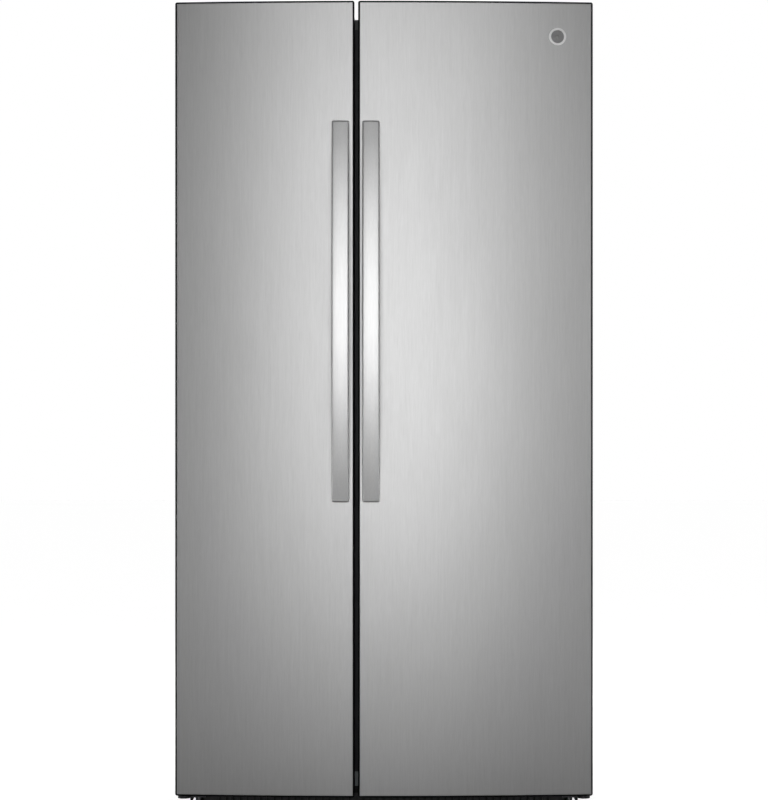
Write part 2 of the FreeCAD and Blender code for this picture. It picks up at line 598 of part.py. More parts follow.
def make_doors():
    make_door("freezer", FREEZER_DOOR, FREEZER_DYKE, (-420.0, -72.0), -1, FREEZER_BINS)
    make_door("fresh_food", FRESH_DOOR, FRESH_DYKE, (-48.0, 432.0), 1, FRESH_BINS + (DAIRY_BIN,))
    save("freezer_handle", handle(HANDLE_X[0]))
    save("fresh_food_handle", handle(HANDLE_X[1]))
    save("badge", badge())


# ---- dairy flap ----------------------------------------------------------------------------------
def make_dairy_flap():
    """A clear hinged front over the dairy bin, on two stub pins held by ears on a header bar."""
    y, z = FLAP_PIVOT
    x0, x1 = DAIRY_X
    inset = DYKE_WALL + PLAY
    header = box(FRESH_DYKE[0] + inset, FRESH_DYKE[1] - inset, DOOR_BACK + PLAY, y - 12, z - 8, z + 6)
    ears = [box(x, x + 4, y - 14, y + 6, z - 8, z + 6) for x in (x0 - 5, x1 + 1)]
    holder = fused(header, *ears)
    holes = [rod(V(x0 - 6, y, z), X, 2.58, 6), rod(V(x1, y, z), X, 2.58, 6)]
    holder = holder.cut(holes)
    flap = rounded_box(x0, x1, y + 4, y + 7, DAIRY_BIN[0] + 30, z - 8, 10, Y)
    knuckle = rod(V(x0, y, z), X, 5, x1 - x0)
    web = box(x0 + 4, x1 - 4, y + 1, y + 7, z - 12, z)
    pins = rod(V(x0 - 4.5, y, z), X, 2.5, x1 - x0 + 9)
    middle, foot = (x0 + x1) / 2, DAIRY_BIN[0] + 34
    pull = rounded_box(middle - 35, middle + 35, y + 6, y + 12, foot, foot + 6, 2, X)
    save("dairy_flap", fused(flap, knuckle, web, pins, pull))
    save("dairy_header", holder)


# ---- shelves -------------------------------------------------------------------------------------
LADDER_X = (80.0, 304.0)
LADDER_PITCH = 25.0
LADDER_Z = (700.0, 1560.0)
PANE = 4.0
FRESH_SHELF = (-15.0, 399.0, PULL_FRONT + 8, 352.0)
FREEZER_SHELF = (-389.0, -100.0, PULL_FRONT + 14, 286.0)


def shelf_frame(outline, level, rim, front_rim):
    """A rim round a pane: the pane drops into a rabbet, so its top is at the level."""
    x0, x1, y0, y1 = outline
    ring = rounded_box(x0, x1, y0, y1, level - 12, level + 2, 8, Z)
    ring = ring.makeFillet(1.5, edges_where(ring, lambda p: abs(p.z - level - 2) < 1e-6))
    window = box(x0 + rim, x1 - rim, y0 + front_rim, y1 - rim, level - 20, level + 5)
    step = rim - 6
    rabbet = box(x0 + step, x1 - step, y0 + front_rim - 6, y1 - step, level - PANE - 0.1, level + 5)
    return ring.cut([window, rabbet])


def pane(outline, level, rim, front_rim):
    x0, x1, y0, y1 = outline
    return box(x0 + rim - 5.5, x1 - rim + 5.5, y0 + front_rim - 5.5, y1 - rim + 5.5, level - PANE, level)


def bracket(x, level):
    """A steel cantilever arm under a shelf, with two tabs in the ladder's slots."""
    face = FRESH_BACK - 4.0
    under = level - 12.0
    tip, root = -90.0, face - 0.1
    side = ((tip, under), (root, under), (root, under - 42), (tip, under - 12))
    profile = [V(x - 1.5, y, z) for y, z in side]
    arm = extruded(profile, [0, 0, 6, 4], V(3, 0, 0))
    riser = box(x - 1.5, x + 1.5, 351, root, under - 1, level + 4)
    slot = LADDER_Z[0] + LADDER_PITCH * round((under - 20 - LADDER_Z[0]) / LADDER_PITCH)
    tab = box(x - 1.3, x + 1.3, face - 2, face + 3.2, slot - 4, slot + 4)
    return [arm, riser, tab]


def make_shelves():
    panes = []
    shelves = []
    for level in FRESH_SHELVES:
        ring = shelf_frame(FRESH_SHELF, level, 14, 26)
        arms = [piece for x in LADDER_X for piece in bracket(x, level)]
        shelves.append(fused(ring, *arms))
        panes.append(pane(FRESH_SHELF, level, 14, 26))
    save("fresh_food_shelves", *shelves)

    frames = []
    for level in FREEZER_SHELVES:
        frames.append(shelf_frame(FREEZER_SHELF, level, 12, 22))
        panes.append(pane(FREEZER_SHELF, level, 12, 22))
    save("freezer_shelves", *frames)
    panes.append(pane(CRISPER_TOP, CRISPER_LEVEL, 14, 26))
    save("glass_panes", *panes)

    ladders = []
    for x in LADDER_X:
        strip = rounded_box(x - 11, x + 11, FRESH_BACK - 4, FRESH_BACK - PLAY,
                            LADDER_Z[0] - 20, LADDER_Z[1] + 20, 4, Y)
        steps = int((LADDER_Z[1] - LADDER_Z[0]) / LADDER_PITCH)
        slots = [box(x - 1.8, x + 1.8, FRESH_BACK - 6, FRESH_BACK + 1, z - 6, z + 6)
                 for z in (LADDER_Z[0] + LADDER_PITCH * i for i in range(steps + 1))]
        ladders.append(strip.cut(slots))
    save("shelf_ladders", *ladders)


# ---- drawers -------------------------------------------------------------------------------------
CRISPER_LEVEL = 640.0
CRISPER_TOP = (-21.0, 405.0, PULL_FRONT + 5, 352.0)
CRISPER_X = (-11.0, 381.0)
CRISPER_TUB_X = (0.0, 372.0)
CRISPER_UPPER = (424.0, 612.0, 335.0)  # bottom, top, back
CRISPER_LOWER = (150.0, 392.0, 125.0)
RIM = 3.0
FRONT_WALL = 8.0


def crisper(bottom, top, back):
    """A clear tub with a thicker front, side rims that ride on ledges, and a scooped pull in the front."""
    x0, x1 = CRISPER_TUB_X
    body = tub(x0, x1, PULL_FRONT + 3, back, bottom, top, 2.6, 14, 10)
    face = rounded_box(*CRISPER_X, PULL_FRONT, PULL_FRONT + FRONT_WALL, bottom, top + 4, 8, Y)
    face = face.makeFillet(2.5, edges_where(face, lambda p: abs(p.y - PULL_FRONT) < 1e-6))
    rims = [box(CRISPER_X[0], x0 + 2, PULL_FRONT + 4, back - 12, top - RIM, top),
            box(x1 - 2, CRISPER_X[1], PULL_FRONT + 4, back - 12, top - RIM, top)]
    middle = (x0 + x1) / 2
    scoop = rod(V(middle - 75, PULL_FRONT - 4, top - 26), X, 9, 150)
    lip = box(x0 + 2, x1 - 2, PULL_FRONT + 4, PULL_FRONT + 26, top - 8, top + 1)
    window = box(x0 + 12, x1 - 12, PULL_FRONT + FRONT_WALL, PULL_FRONT + 30, top - 30, top - 3)
    return fused(body, face, *rims, lip.cut(window)).cut(scoop)


def make_drawers():
    upper = crisper(*CRISPER_UPPER)
    top = CRISPER_UPPER[1]
    track = box(*SLIDER_TRACK, PULL_FRONT - 1, PULL_FRONT + 2.5, top - 12, top - 4)
    save("crisper_upper", upper.cut(track))
    save("crisper_lower", crisper(*CRISPER_LOWER))

    x0 = SLIDER_TRACK[0] + 1
    tongue = box(x0, x0 + 30, PULL_FRONT - 0.5, PULL_FRONT + 2.3, top - 11.8, top - 4.2)
    grip = rounded_box(x0, x0 + 30, PULL_FRONT - 4, PULL_FRONT - 0.3, top - 14, top - 2, 3, Y)
    notches = [rod(V(x0 + 9 + 4 * i, PULL_FRONT - 4, top - 15), Z, 1.0, 14) for i in range(4)]
    save("humidity_slider", fused(tongue, grip).cut(notches))

    pieces = []
    y0 = PULL_FRONT + FRONT_WALL + 1
    under_top = CRISPER_LEVEL - 12
    for x0, x1 in ((-21, -13), (384, 405)):
        pieces.append(box(x0, x1, y0, 120, 124, under_top))
        pieces.append(box(x0, x1, 119, 345, 348, under_top))
    pieces.append(box(-14, 385, y0, 345, 402, 414))
    for _, ledge_top, back in (CRISPER_UPPER, CRISPER_LOWER):
        z1 = ledge_top - RIM - 0.3
        for a, b in ((-14, -3), (375, 385)):
            pieces.append(box(a, b, y0, back - 5, z1 - 6, z1))
    ring = shelf_frame(CRISPER_TOP, CRISPER_LEVEL, 14, 26)
    save("crisper_frame", inside(fused(ring, *pieces), FRESH_X, FRESH_BACK))

    baskets = {"freezer_basket_upper": BASKET_UPPER, "freezer_basket_lower": BASKET_LOWER}
    for name, (bottom, top) in baskets.items():
        back = 275.0 if top > STEP_Z + 200 else 118.0
        inner = (FREEZER_X[0] + RAIL_WIDTHS[0] + 4, FREEZER_X[1] - RAIL_WIDTHS[1] - 4)
        body = tub(inner[0], inner[1], PULL_FRONT, back, bottom, top, 4.0, 18, 12)
        rims = [box(inner[0] - 13, inner[0] + 3, PULL_FRONT + 10, back - 12, top - BASKET_RIM, top),
                box(inner[1] - 3, inner[1] + 7, PULL_FRONT + 10, back - 12, top - BASKET_RIM, top)]
        save(name, fused(body, *rims))

    level = FREEZER_SHELVES[2] + 2.5
    bucket = tub(-376, -112, PULL_FRONT + 16, 262, level, level + 150, 3.0, 24, 14)
    grip = rounded_box(-286, -202, PULL_FRONT + 10, PULL_FRONT + 18, level + 112, level + 130, 3, X)
    save("ice_bucket", fused(bucket, grip))


SLIDER_TRACK = (230.0, 325.0)


# ---- cold and machine side -----------------------------------------------------------------------
def return_bend(start, tube_r, to_centre, axis):
    """Half a turn of tube from the start, about an axis that far from it."""
    section = Part.Face(Part.Wire(Part.makeCircle(tube_r, start, X)))
    return section.revolve(start + to_centre, axis, 180)


def finned_coil(x0, x1, columns, rows, tube_r, fin_margin, fin_gap):
    """Straight tubes along X through a stack of fins, joined by return bends at alternate ends."""
    pieces = []
    fins = int((x1 - x0) / fin_gap)
    low_y, high_y = columns[0] - fin_margin, columns[-1] + fin_margin
    low_z, high_z = rows[0] - fin_margin, rows[-1] + fin_margin
    for i in range(fins + 1):
        x = x0 + fin_gap * i
        pieces.append(box(x, x + 1.0, low_y, high_y, low_z, high_z))
    for y in columns:
        for z in rows:
            pieces.append(rod(V(x0 - 10, y, z), X, tube_r, x1 - x0 + 20))
        for i, (a, b) in enumerate(zip(rows, rows[1:])):
            side = 1 if i % 2 == 0 else -1
            end = V(x1 + 10, y, a) if side > 0 else V(x0 - 10, y, a)
            pieces.append(return_bend(end, tube_r, V(0, 0, (b - a) / 2), V(0, -side, 0)))
    return fused(pieces[0], *pieces[1:])


def fan_blades(radius, depth):
    """Hub and five pitched blades about +Z, from z = 4."""
    hub = rod(V(0, 0, 4), Z, radius * 0.28, depth)
    blades = []
    for i in range(5):
        blade = box(radius * 0.2, radius * 0.96, -radius * 0.28, radius * 0.28, -0.9, 0.9)
        blade.rotate(V(0, 0, 0), X, 24)
        blade.translate(V(0, 0, 4 + depth / 2))
        blade.rotate(V(0, 0, 0), Z, 72 * i)
        blades.append(blade)
    bounds = rod(V(0, 0, 3.5), Z, radius, depth + 1)
    blades = [b.common(bounds) for b in blades]
    return fused(hub, *blades).cut(rod(V(0, 0, 0), Z, 3.08, depth + 10))


def fan_motor(radius, length):
    """Motor can behind the blades, its shaft, and three arms to the mounting plane at z = 0."""
    can = rod(V(0, 0, 23), Z, 20, length)
    can = can.makeFillet(3, edges_where(can, lambda p: p.z > 23 + length - 0.01))
    shaft = rod(V(0, 0, 6), Z, 3.0, 20)
    arms = []
    for i in range(3):
        arm = box(10, radius + 14, -4, 4, 23, 26)
        post = rod(V(radius + 11, 0, 0), Z, 3.5, 25)
        for piece in (arm, post):
            piece.rotate(V(0, 0, 0), Z, 90 + 120 * i)
            arms.append(piece)
    return fused(can, shaft, *arms)


def facing(shape, axis, place):
    """Turns a shape built along +Z to the axis, and puts its origin at the place."""
    turned = shape.copy()
    turned.rotate(V(0, 0, 0), *((Y, 90) if axis is X else (X, -90)))
    turned.translate(place)
    return turned


CONDENSER_FAN = V(-36.0, 325.0, 148.0)
CONDENSER_FAN_R = 62.0
EVAPORATOR_FAN = V(-245.0, 296.2, 1180.0)
EVAPORATOR_FAN_R = 50.0
FAN_DEPTH = 14.0
VALVE = (-410.0, 125.0)
GLAND = (300.0, 96.0)
COMPRESSOR = (200.0, 325.0)


def make_machine_room():
    coil = finned_coil(-378, -130, [250, 284, 318, 352], [98, 136, 174], 4.0, 14, 15.5)
    legs = [box(x, x + 2, 236, 366, TRAY_Z + PLAY, 188) for x in (-380, -130)]
    save("condenser_coil", fused(coil, *legs))
    save("condenser_fan", facing(fan_blades(CONDENSER_FAN_R, FAN_DEPTH), X, CONDENSER_FAN))
    shroud = box(CONDENSER_FAN.x - 4, CONDENSER_FAN.x - 0.05, 235, 415, TRAY_Z + PLAY, 240)
    shroud = shroud.cut(rod(CONDENSER_FAN - X * 10, X, CONDENSER_FAN_R + 4, 20))
    motors = [facing(fan_motor(CONDENSER_FAN_R, 34), X, CONDENSER_FAN),
              facing(fan_motor(EVAPORATOR_FAN_R, 30), Y, EVAPORATOR_FAN)]
    save("fan_motors", *motors, shroud)
    save("evaporator_fan", facing(fan_blades(EVAPORATOR_FAN_R, FAN_DEPTH), Y, EVAPORATOR_FAN))

    save("drain_pan", tub(-370, -140, 228, 412, TRAY_Z + PLAY, 74, 2.0, 12, 6))

    x, y = COMPRESSOR
    dome = ((0, 54), (66, 54), (80, 78), (80, 165), (60, 205), (0, 214))  # radius, height
    profile = [V(x + radius, y, z) for radius, z in dome]
    shell = Part.Face(rounded_wire(profile, [0, 14, 18, 26, 24, 0])).revolve(V(x, y, 0), Z, 360)
    seam = rod(V(x, y, 124), Z, 83, 6)
    plate = rounded_box(x - 100, x + 100, y - 62, y + 62, TRAY_Z + 8, TRAY_Z + 14, 12, Z)
    grommets = [rod(V(x + a, y + b, TRAY_Z + PLAY), Z, 10, 9) for a in (-86, 86) for b in (-48, 48)]
    terminal = rounded_box(x + 66, x + 104, y - 28, y + 28, 98, 160, 5, X)
    stubs = [rod(V(x - 40, y + 20, 190), Z, 4.5, 60), rod(V(x - 20, y - 40, 190), Z, 3.5, 50)]
    save("compressor", fused(shell, seam, plate, terminal, *grommets, *stubs))

    x, z = VALVE
    body = rounded_box(x - 18, x + 18, 376, 411, z - 20, z + 20, 4, Y)
    nut = rod(V(x, 410, z), Y, 9, 10)
    stub = rod(V(x, 419, z), Y, 5.5, 25)
    solenoid = rod(V(x, 393, z + 18), Z, 14, 42)
    foot = box(x - 20, x + 16, 372, 376.5, CASE_BOTTOM, z + 22)
    save("water_valve", fused(body, nut, stub, solenoid, foot))

    cover = rounded_box(-446, 446, COVER_FRONT, CASE_BACK - 0.01, CASE_BOTTOM + 1, MACHINE_TOP, 6, Y)
    vents = []
    through = (CASE_BACK - 5, CASE_BACK + 5)
    for centre in (-250, 200):
        for i in range(13):
            for row in (118, 196):
                vx = centre - 102 + 17 * i
                vents.append(rounded_box(vx - 3, vx + 3, *through, row, row + 60, 2.9, Y))
    window = rounded_box(x - 34, x + 34, *through, z - 36, z + 70, 8, Y)
    gland_hole = rod(V(GLAND[0], CASE_BACK - 5, GLAND[1]), Y, 10.1, 10)
    save("machine_cover", cover.cut(vents + [window, gland_hole] + cover_screw_holes()))

    gx, gz = GLAND
    sleeve = rod(V(gx, CASE_BACK - 8, gz), Y, 10, 10)
    collar = rod(V(gx, CASE_BACK, gz), Y, 13.5, 3.5)
    inner = rod(V(gx, CASE_BACK - 6, gz), Y, 12, 4.4)
    save("cord_gland", fused(sleeve, collar, inner).cut(rod(V(gx, CASE_BACK - 20, gz), Y, 4.5, 40)))


def make_cold_side():
    coil = finned_coil(-352, -142, [316, 346], [500 + 40 * i for i in range(11)], 4.5, 12, 16)
    runs = [rod(V(-352, 331, z), X, 4, 212) for z in (432, 452)]
    turn = return_bend(V(-140, 331, 432), 4, V(0, 0, 10), -Y)
    save("evaporator_coil", coil, fused(*runs, turn))

    x, y, z = EVAPORATOR_FAN
    face = rounded_box(FREEZER_X[0] + 2, FREEZER_X[1] - 2, 291, 296, STEP_Z + 8, 1620, 6, Y)
    hole = rod(V(x, 280, z), Y, EVAPORATOR_FAN_R + 4, 30)
    bars = []
    for i in range(5):
        radius = 12 + 10 * i
        bars.append(rod(V(x, 291, z), Y, radius + 1.2, 2).cut(rod(V(x, 290, z), Y, radius - 1.2, 4)))
    bars.append(box(x - 56, x + 56, 291, 293, z - 1.5, z + 1.5))
    bars.append(box(x - 1.5, x + 1.5, 291, 293, z - 56, z + 56))
    slots = []
    for row in (350, 378, 1545, 1573):
        for i in range(8):
            sx = FREEZER_X[0] + 24 + 32 * i
            slots.append(rounded_box(sx, sx + 24, 285, 300, row, row + 14, 6.5, Y))
    panel = face.cut([hole] + slots)
    save("evaporator_cover", fused(panel, *bars))

    housing = rounded_box(-388, -292, -30, 62, 1545, 1672, 8, Y)
    housing = housing.makeFillet(5, edges_where(housing, lambda p: abs(p.y + 30) < 1e-6))
    section = ((-384, 1590), (-384, 1632), (-298, 1632), (-298, 1590), (-341, 1562))
    mould = extruded([V(sx, 60, sz) for sx, sz in section], [0, 2, 2, 0, 26], V(0, 190, 0))
    trough = rod(V(-341, 64, 1634), Y, 34, 182)
    rake = rod(V(-341, 60, 1634), Y, 5, 190)
    teeth = [box(-343, -300, 78 + 22 * i, 82 + 22 * i, 1632, 1637) for i in range(8)]
    fill_cup = rounded_box(-372, -318, 238, 288, 1600, 1668, 5, Z)
    hanger = box(-391.9, -380, 20, 240, 1640, 1660)
    save("ice_maker", fused(housing, mould.cut(trough), rake, fill_cup, hanger, *teeth))

    shell = rounded_box(-19, 403, -150, 372, 1634, ROOM_Z[1] - PLAY, 12, Z)
    shell = shell.makeFillet(6, edges_where(shell, lambda p: abs(p.z - 1634) < 1e-6))
    hollow = box(-14, 398, -145, 367, 1638, ROOM_Z[1] + 5)
    outlets = [rounded_box(20 + 42 * i, 54 + 42 * i, -160, -140, 1650, 1664, 5, Y) for i in range(2)]
    outlets += [rounded_box(296 + 42 * i, 330 + 42 * i, -160, -140, 1650, 1664, 5, Y) for i in range(2)]
    lens_seat = box(115.9, 268.1, 20, 100, 1630, 1640)
    housing = inside(shell, FRESH_X, FRESH_BACK)
    save("control_housing", housing.cut([hollow, lens_seat] + outlets))

    lenses = [rounded_box(116, 268, 20.1, 99.9, 1632.5, 1637, 2, Y),
              rounded_box(110, 274, -262, -222, 1688, ROOM_Z[1] - PLAY, 8, Z),
              rounded_box(-292, -198, -250, -206, 1688, ROOM_Z[1] - PLAY, 8, Z)]
    save("led_lenses", *lenses)


make_cabinet()
make_base()
make_hinges()
make_doors()
make_dairy_flap()
make_shelves()
make_drawers()
make_machine_room()
make_cold_side()
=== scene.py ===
"""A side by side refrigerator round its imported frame: finished surfaces, fine meshes, studio and camera."""

import json
import math

import bpy
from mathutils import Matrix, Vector


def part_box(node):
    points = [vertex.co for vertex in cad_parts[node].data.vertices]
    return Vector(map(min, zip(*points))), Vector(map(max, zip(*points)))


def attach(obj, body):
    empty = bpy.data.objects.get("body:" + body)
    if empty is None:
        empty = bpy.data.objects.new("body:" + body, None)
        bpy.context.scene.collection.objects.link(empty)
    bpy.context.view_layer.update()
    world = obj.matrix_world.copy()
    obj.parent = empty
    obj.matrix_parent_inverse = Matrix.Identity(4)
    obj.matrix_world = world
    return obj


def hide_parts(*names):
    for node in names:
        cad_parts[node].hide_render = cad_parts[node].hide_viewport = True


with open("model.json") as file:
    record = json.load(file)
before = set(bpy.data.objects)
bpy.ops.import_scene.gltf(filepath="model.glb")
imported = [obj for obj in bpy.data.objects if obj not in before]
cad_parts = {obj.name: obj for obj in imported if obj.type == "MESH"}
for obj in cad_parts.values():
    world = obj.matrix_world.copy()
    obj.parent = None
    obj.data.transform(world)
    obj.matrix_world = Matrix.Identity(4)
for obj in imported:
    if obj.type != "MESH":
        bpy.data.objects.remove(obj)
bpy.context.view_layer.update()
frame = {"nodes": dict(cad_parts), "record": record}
scene = bpy.context.scene

# ---- places from the frame, and sizes shared with the CAD, in metres --------------------------------------
FREEZER_LOW, FREEZER_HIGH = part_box("freezer_door_frame")
SIDE = -FREEZER_LOW.x
DOOR_BACK = FREEZER_HIGH.y
DOOR_FRONT = -0.389  # y of the bowed front at its middle
BOW = 0.020
FRONT_RADIUS = (SIDE**2 + BOW**2) / (2 * BOW)
BEZEL = 0.0032  # the dark edge round each skin: the near-black door frame left showing, standing in for the painted shade round each door
SHEET = 0.0012
SLACK = 0.00005  # gap left between faces that would lie in one plane

HANDLE_LOW, HANDLE_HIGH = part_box("freezer_handle")
HANDLE_Z = (HANDLE_LOW.z, HANDLE_HIGH.z)
HANDLE_HALF = (HANDLE_HIGH.x - HANDLE_LOW.x) / 2
HANDLE_MID = -0.445  # y of the bar's front at its middle and at its ends
HANDLE_END = -0.409
HANDLE_THICK = 0.015
HANDLE_FOOT = 0.060  # height of the foot at each end

BADGE = (0.3765, 1.699)  # x and z of its middle
BADGE_R = 0.0189
BADGE_HEIGHT = 0.003

DYKE_Z = (0.135, 1.680)  # the inner panel's raised ring, which holds the bins
DYKE_WALL = 0.026
FREEZER_DYKE = (-0.388, -0.113)
FRESH_DYKE = (-0.010, 0.388)
LUG = 0.0032
LUG_DROP = 0.040  # from a bin's rim down to the top of its lugs
BIN_PLAY = 0.0045
BIN_FRONT = -0.200
# Each bin: the height of its floor, and its own height.
FREEZER_BINS = ((0.175, 0.130), (0.470, 0.110), (0.765, 0.110), (1.060, 0.110), (1.355, 0.110))
FRESH_BINS = ((0.175, 0.140), (0.470, 0.115), (0.765, 0.115), (1.060, 0.115), (1.440, 0.128))


def front_y(x):
    """y of the bowed door front."""
    return DOOR_FRONT + FRONT_RADIUS - math.sqrt(FRONT_RADIUS**2 - x * x)


# ---- node materials ---------------------------------------------------------------------------------------
MATS = {}  # every material by name; most names are the record's material slots
NOISE_SPAN = (0.3, 0.7)  # nearly all of a noise's values lie here
STREAK_SPAN = (0.35, 0.87)  # and nearly all of the mixed streaks' values here
COARSE_GRAIN = 0.22  # the coarse streaks' density beside the fine ones'
COARSE_SHARE = 0.55  # how much the coarse streaks, all streaks and the smears count in the mix
STREAK_SHARE = 0.645
CLOUD_SHARE = 0.22


def linear(c):
    return c / 12.92 if c <= 0.04045 else ((c + 0.055) / 1.055) ** 2.4


def channels(color):
    """Red, green and blue of a colour, which may be one number for a grey."""
    return (color,) * 3 if isinstance(color, (int, float)) else color


def rgba(color):
    return tuple(linear(c) for c in channels(color)) + (1.0,)


def shade(color, change):
    """A colour with each channel raised or lowered, kept within 0 to 1."""
    return [min(1.0, max(0.0, c + change)) for c in channels(color)]


class Shader:
    """A node tree with helpers that each add one node and return its output."""

    def __init__(self, tree):
        self.nodes, self.links = tree.nodes, tree.links

    def feed(self, node, **inputs):
        """Set each input to a value, or link it to another node's output."""
        for key, value in inputs.items():
            socket = node.inputs[key.replace("_", " ")]
            if isinstance(value, bpy.types.NodeSocket):
                self.links.new(value, socket)
            else:
                socket.default_value = value
        return node

    def new(self, kind, **inputs):
        return self.feed(self.nodes.new(f"ShaderNode{kind}"), **inputs)

    def ramp(self, value, low, high, to_low=0.0, to_high=1.0):
        return self.new("MapRange", Value=value, From_Min=low, From_Max=high,
                        To_Min=to_low, To_Max=to_high).outputs["Result"]

    def combine(self, how, a, b):
        node = self.nodes.new("ShaderNodeMath")
        node.operation = how
        for socket, item in zip(node.inputs, (a, b)):
            if isinstance(item, float):
                socket.default_value = item
            else:
                self.links.new(item, socket)
        return node.outputs["Value"]

    def plus(self, a, b):
        return self.combine("ADD", a, b)

    def times(self, a, b):
        return self.combine("MULTIPLY", a, b)

    def mix(self, factor, a, b):
        """One colour where the factor is 0 and the other where it is 1; each may be an output."""
        node = self.nodes.new("ShaderNodeMix")
        node.data_type = "RGBA"
        a, b = (item if isinstance(item, bpy.types.NodeSocket) else rgba(item) for item in (a, b))
        return self.feed(node, Factor=factor, A=a, B=b).outputs["Result"]


class Surface(Shader):
    """One material, listed in MATS: a Principled shader fed by textures in object space.

    A texture's scale is in cells for each metre, along all axes or along x, y and z.
    """

    def __init__(self, name, **inputs):
        MATS[name] = bpy.data.materials.new(name)
        MATS[name].use_nodes = True
        super().__init__(MATS[name].node_tree)
        self.coord = self.nodes.new("ShaderNodeTexCoord")
        self.normal = None
        self.principled(**inputs)

    def principled(self, **inputs):
        self.feed(self.nodes["Principled BSDF"], **inputs)

    def mapped(self, scale):
        return self.new("Mapping", Vector=self.coord.outputs["Object"],
                        Scale=channels(scale)).outputs["Vector"]

    def noise(self, scale, detail, rough, distortion=0.0):
        return self.new("TexNoise", Vector=self.mapped(scale), Scale=1.0, Detail=detail,
                        Roughness=rough, Distortion=distortion).outputs["Fac"]

    def cells(self, scale):
        return self.new("TexVoronoi", Vector=self.mapped(scale), Scale=1.0).outputs["Distance"]

    def bump(self, height, distance, strength):
        """Bump on top of the bumps before it."""
        node = self.new("Bump", Height=height, Distance=distance, Strength=strength)
        if self.normal is not None:
            self.feed(node, Normal=self.normal)
        self.normal = node.outputs["Normal"]
        self.principled(Normal=self.normal)


def brushed(name, light, rough, grain=(1100, 1100, 34), contrast=0.05, spread=0.07):
    """Belt-polished steel: fine and coarse streaks along the grain, and faint smears across it."""
    s = Surface(name, Metallic=1.0)
    fine = s.noise(grain, 4.0, 0.62)
    coarse = s.noise(tuple(g * COARSE_GRAIN for g in grain), 3.0, 0.6)
    cloud = s.noise((2.6, 2.6, 1.3), 2.0, 0.5)
    streak = s.times(s.plus(fine, s.times(coarse, COARSE_SHARE)), STREAK_SHARE)
    mixed = s.plus(streak, s.times(cloud, CLOUD_SHARE))
    s.principled(Base_Color=s.mix(s.ramp(mixed, *STREAK_SPAN), light - contrast, light + contrast),
                 Roughness=s.ramp(mixed, *STREAK_SPAN, rough + spread, rough - spread))
    s.bump(fine, distance=0.000012, strength=0.6)
    s.bump(coarse, distance=0.00003, strength=0.35)


def moulded(name, color, rough, grain=2600, depth=0.00003, mottle=0.015, dust=0.03, **inputs):
    """Injection moulded plastic: fine spark texture, slow tone change, faint scuffs that catch the light."""
    s = Surface(name, **inputs)
    slow = s.noise(7.0, 3.0, 0.55)
    tone = s.mix(s.ramp(slow, *NOISE_SPAN), shade(color, -mottle), shade(color, mottle))
    scuff = s.ramp(s.noise((46, 46, 190), 4.0, 0.7, distortion=0.6), 0.60, 0.78)
    speck = s.noise(grain, 2.0, 0.6)
    dull = s.ramp(speck, *NOISE_SPAN, rough - 0.04, rough + 0.05)
    s.principled(Base_Color=s.mix(s.times(scuff, dust), tone, shade(color, 0.12)),
                 Roughness=s.plus(dull, s.times(scuff, 0.06)))
    s.bump(speck, distance=depth, strength=0.7)
    s.bump(slow, distance=0.0004, strength=0.12)


def painted(name, color, rough, peel=420, depth=0.00006, mottle=0.012, **inputs):
    """Powder coat or enamel over sheet steel: orange peel, slight waviness of the sheet, small nicks."""
    s = Surface(name, **inputs)
    slow = s.noise(3.0, 2.0, 0.5)
    tone = s.mix(s.ramp(slow, *NOISE_SPAN), shade(color, -mottle), shade(color, mottle))
    nick = s.ramp(s.cells((34, 34, 60)), 0.035, 0.02)
    skin = s.noise(peel, 2.0, 0.45)
    s.principled(Base_Color=s.mix(s.times(nick, 0.35), tone, shade(color, 0.2)),
                 Roughness=s.ramp(skin, *NOISE_SPAN, rough - 0.05, rough + 0.06))
    s.bump(skin, distance=depth, strength=0.6)
    s.bump(slow, distance=0.0007, strength=0.16)


def clear(name, color, rough, alpha, milk=0.15, ior=1.49):
    """Clear moulded plastic or glass: thin, so it lets light through, with faint flow marks."""
    s = Surface(name, IOR=ior, Alpha=alpha, Transmission_Weight=1.0 - milk)
    flow = s.noise((9, 9, 30), 3.0, 0.5, distortion=0.8)
    s.principled(Base_Color=s.mix(s.ramp(flow, *NOISE_SPAN), [c * 0.985 for c in color], color),
                 Roughness=s.ramp(flow, *NOISE_SPAN, rough, rough + 0.035))
    s.bump(flow, distance=0.00025, strength=0.15)


# Each material: its name, tone or colour, and roughness; then alpha for the clear ones.
brushed("stainless", 0.735, 0.36, contrast=0.030, spread=0.03)
brushed("handle_steel", 0.90, 0.39, grain=(1400, 1400, 30), contrast=0.03, spread=0.03)
brushed("zinc_steel", 0.72, 0.34, grain=(500, 500, 500), contrast=0.04)
brushed("screw_steel", 0.66, 0.32, grain=(700, 700, 700), contrast=0.05)
brushed("badge_chrome", 0.93, 0.36, grain=(900, 900, 900), contrast=0.02, spread=0.02)
brushed("badge_dark", 0.62, 0.42, grain=(900, 900, 900), contrast=0.02, spread=0.02)
brushed("coil_aluminium", 0.84, 0.32, grain=(260, 260, 40), contrast=0.04)

painted("cabinet_paint", 0.50, 0.46, peel=760, depth=0.00022)
painted("rear_steel", (0.66, 0.67, 0.68), 0.42, peel=300, Metallic=0.55)
painted("galvanised", (0.66, 0.68, 0.69), 0.38, peel=160, mottle=0.04, Metallic=0.8)
# Darker than the case paint: partly the mullion's own grey, partly painted shade, so the seam between the
# doors reads dark.
painted("mullion_grey", (0.33, 0.33, 0.34), 0.42)
painted("black_steel", 0.10, 0.42)
painted("hinge_steel", (0.30, 0.30, 0.31), 0.36, Metallic=0.5)
painted("ladder_steel", (0.86, 0.87, 0.87), 0.30)
painted("wire_white", (0.88, 0.88, 0.885), 0.24, peel=900)
painted("coil_black", 0.12, 0.38)
painted("motor_steel", (0.42, 0.42, 0.43), 0.36, Metallic=0.6)
painted("compressor_black", 0.06, 0.22)

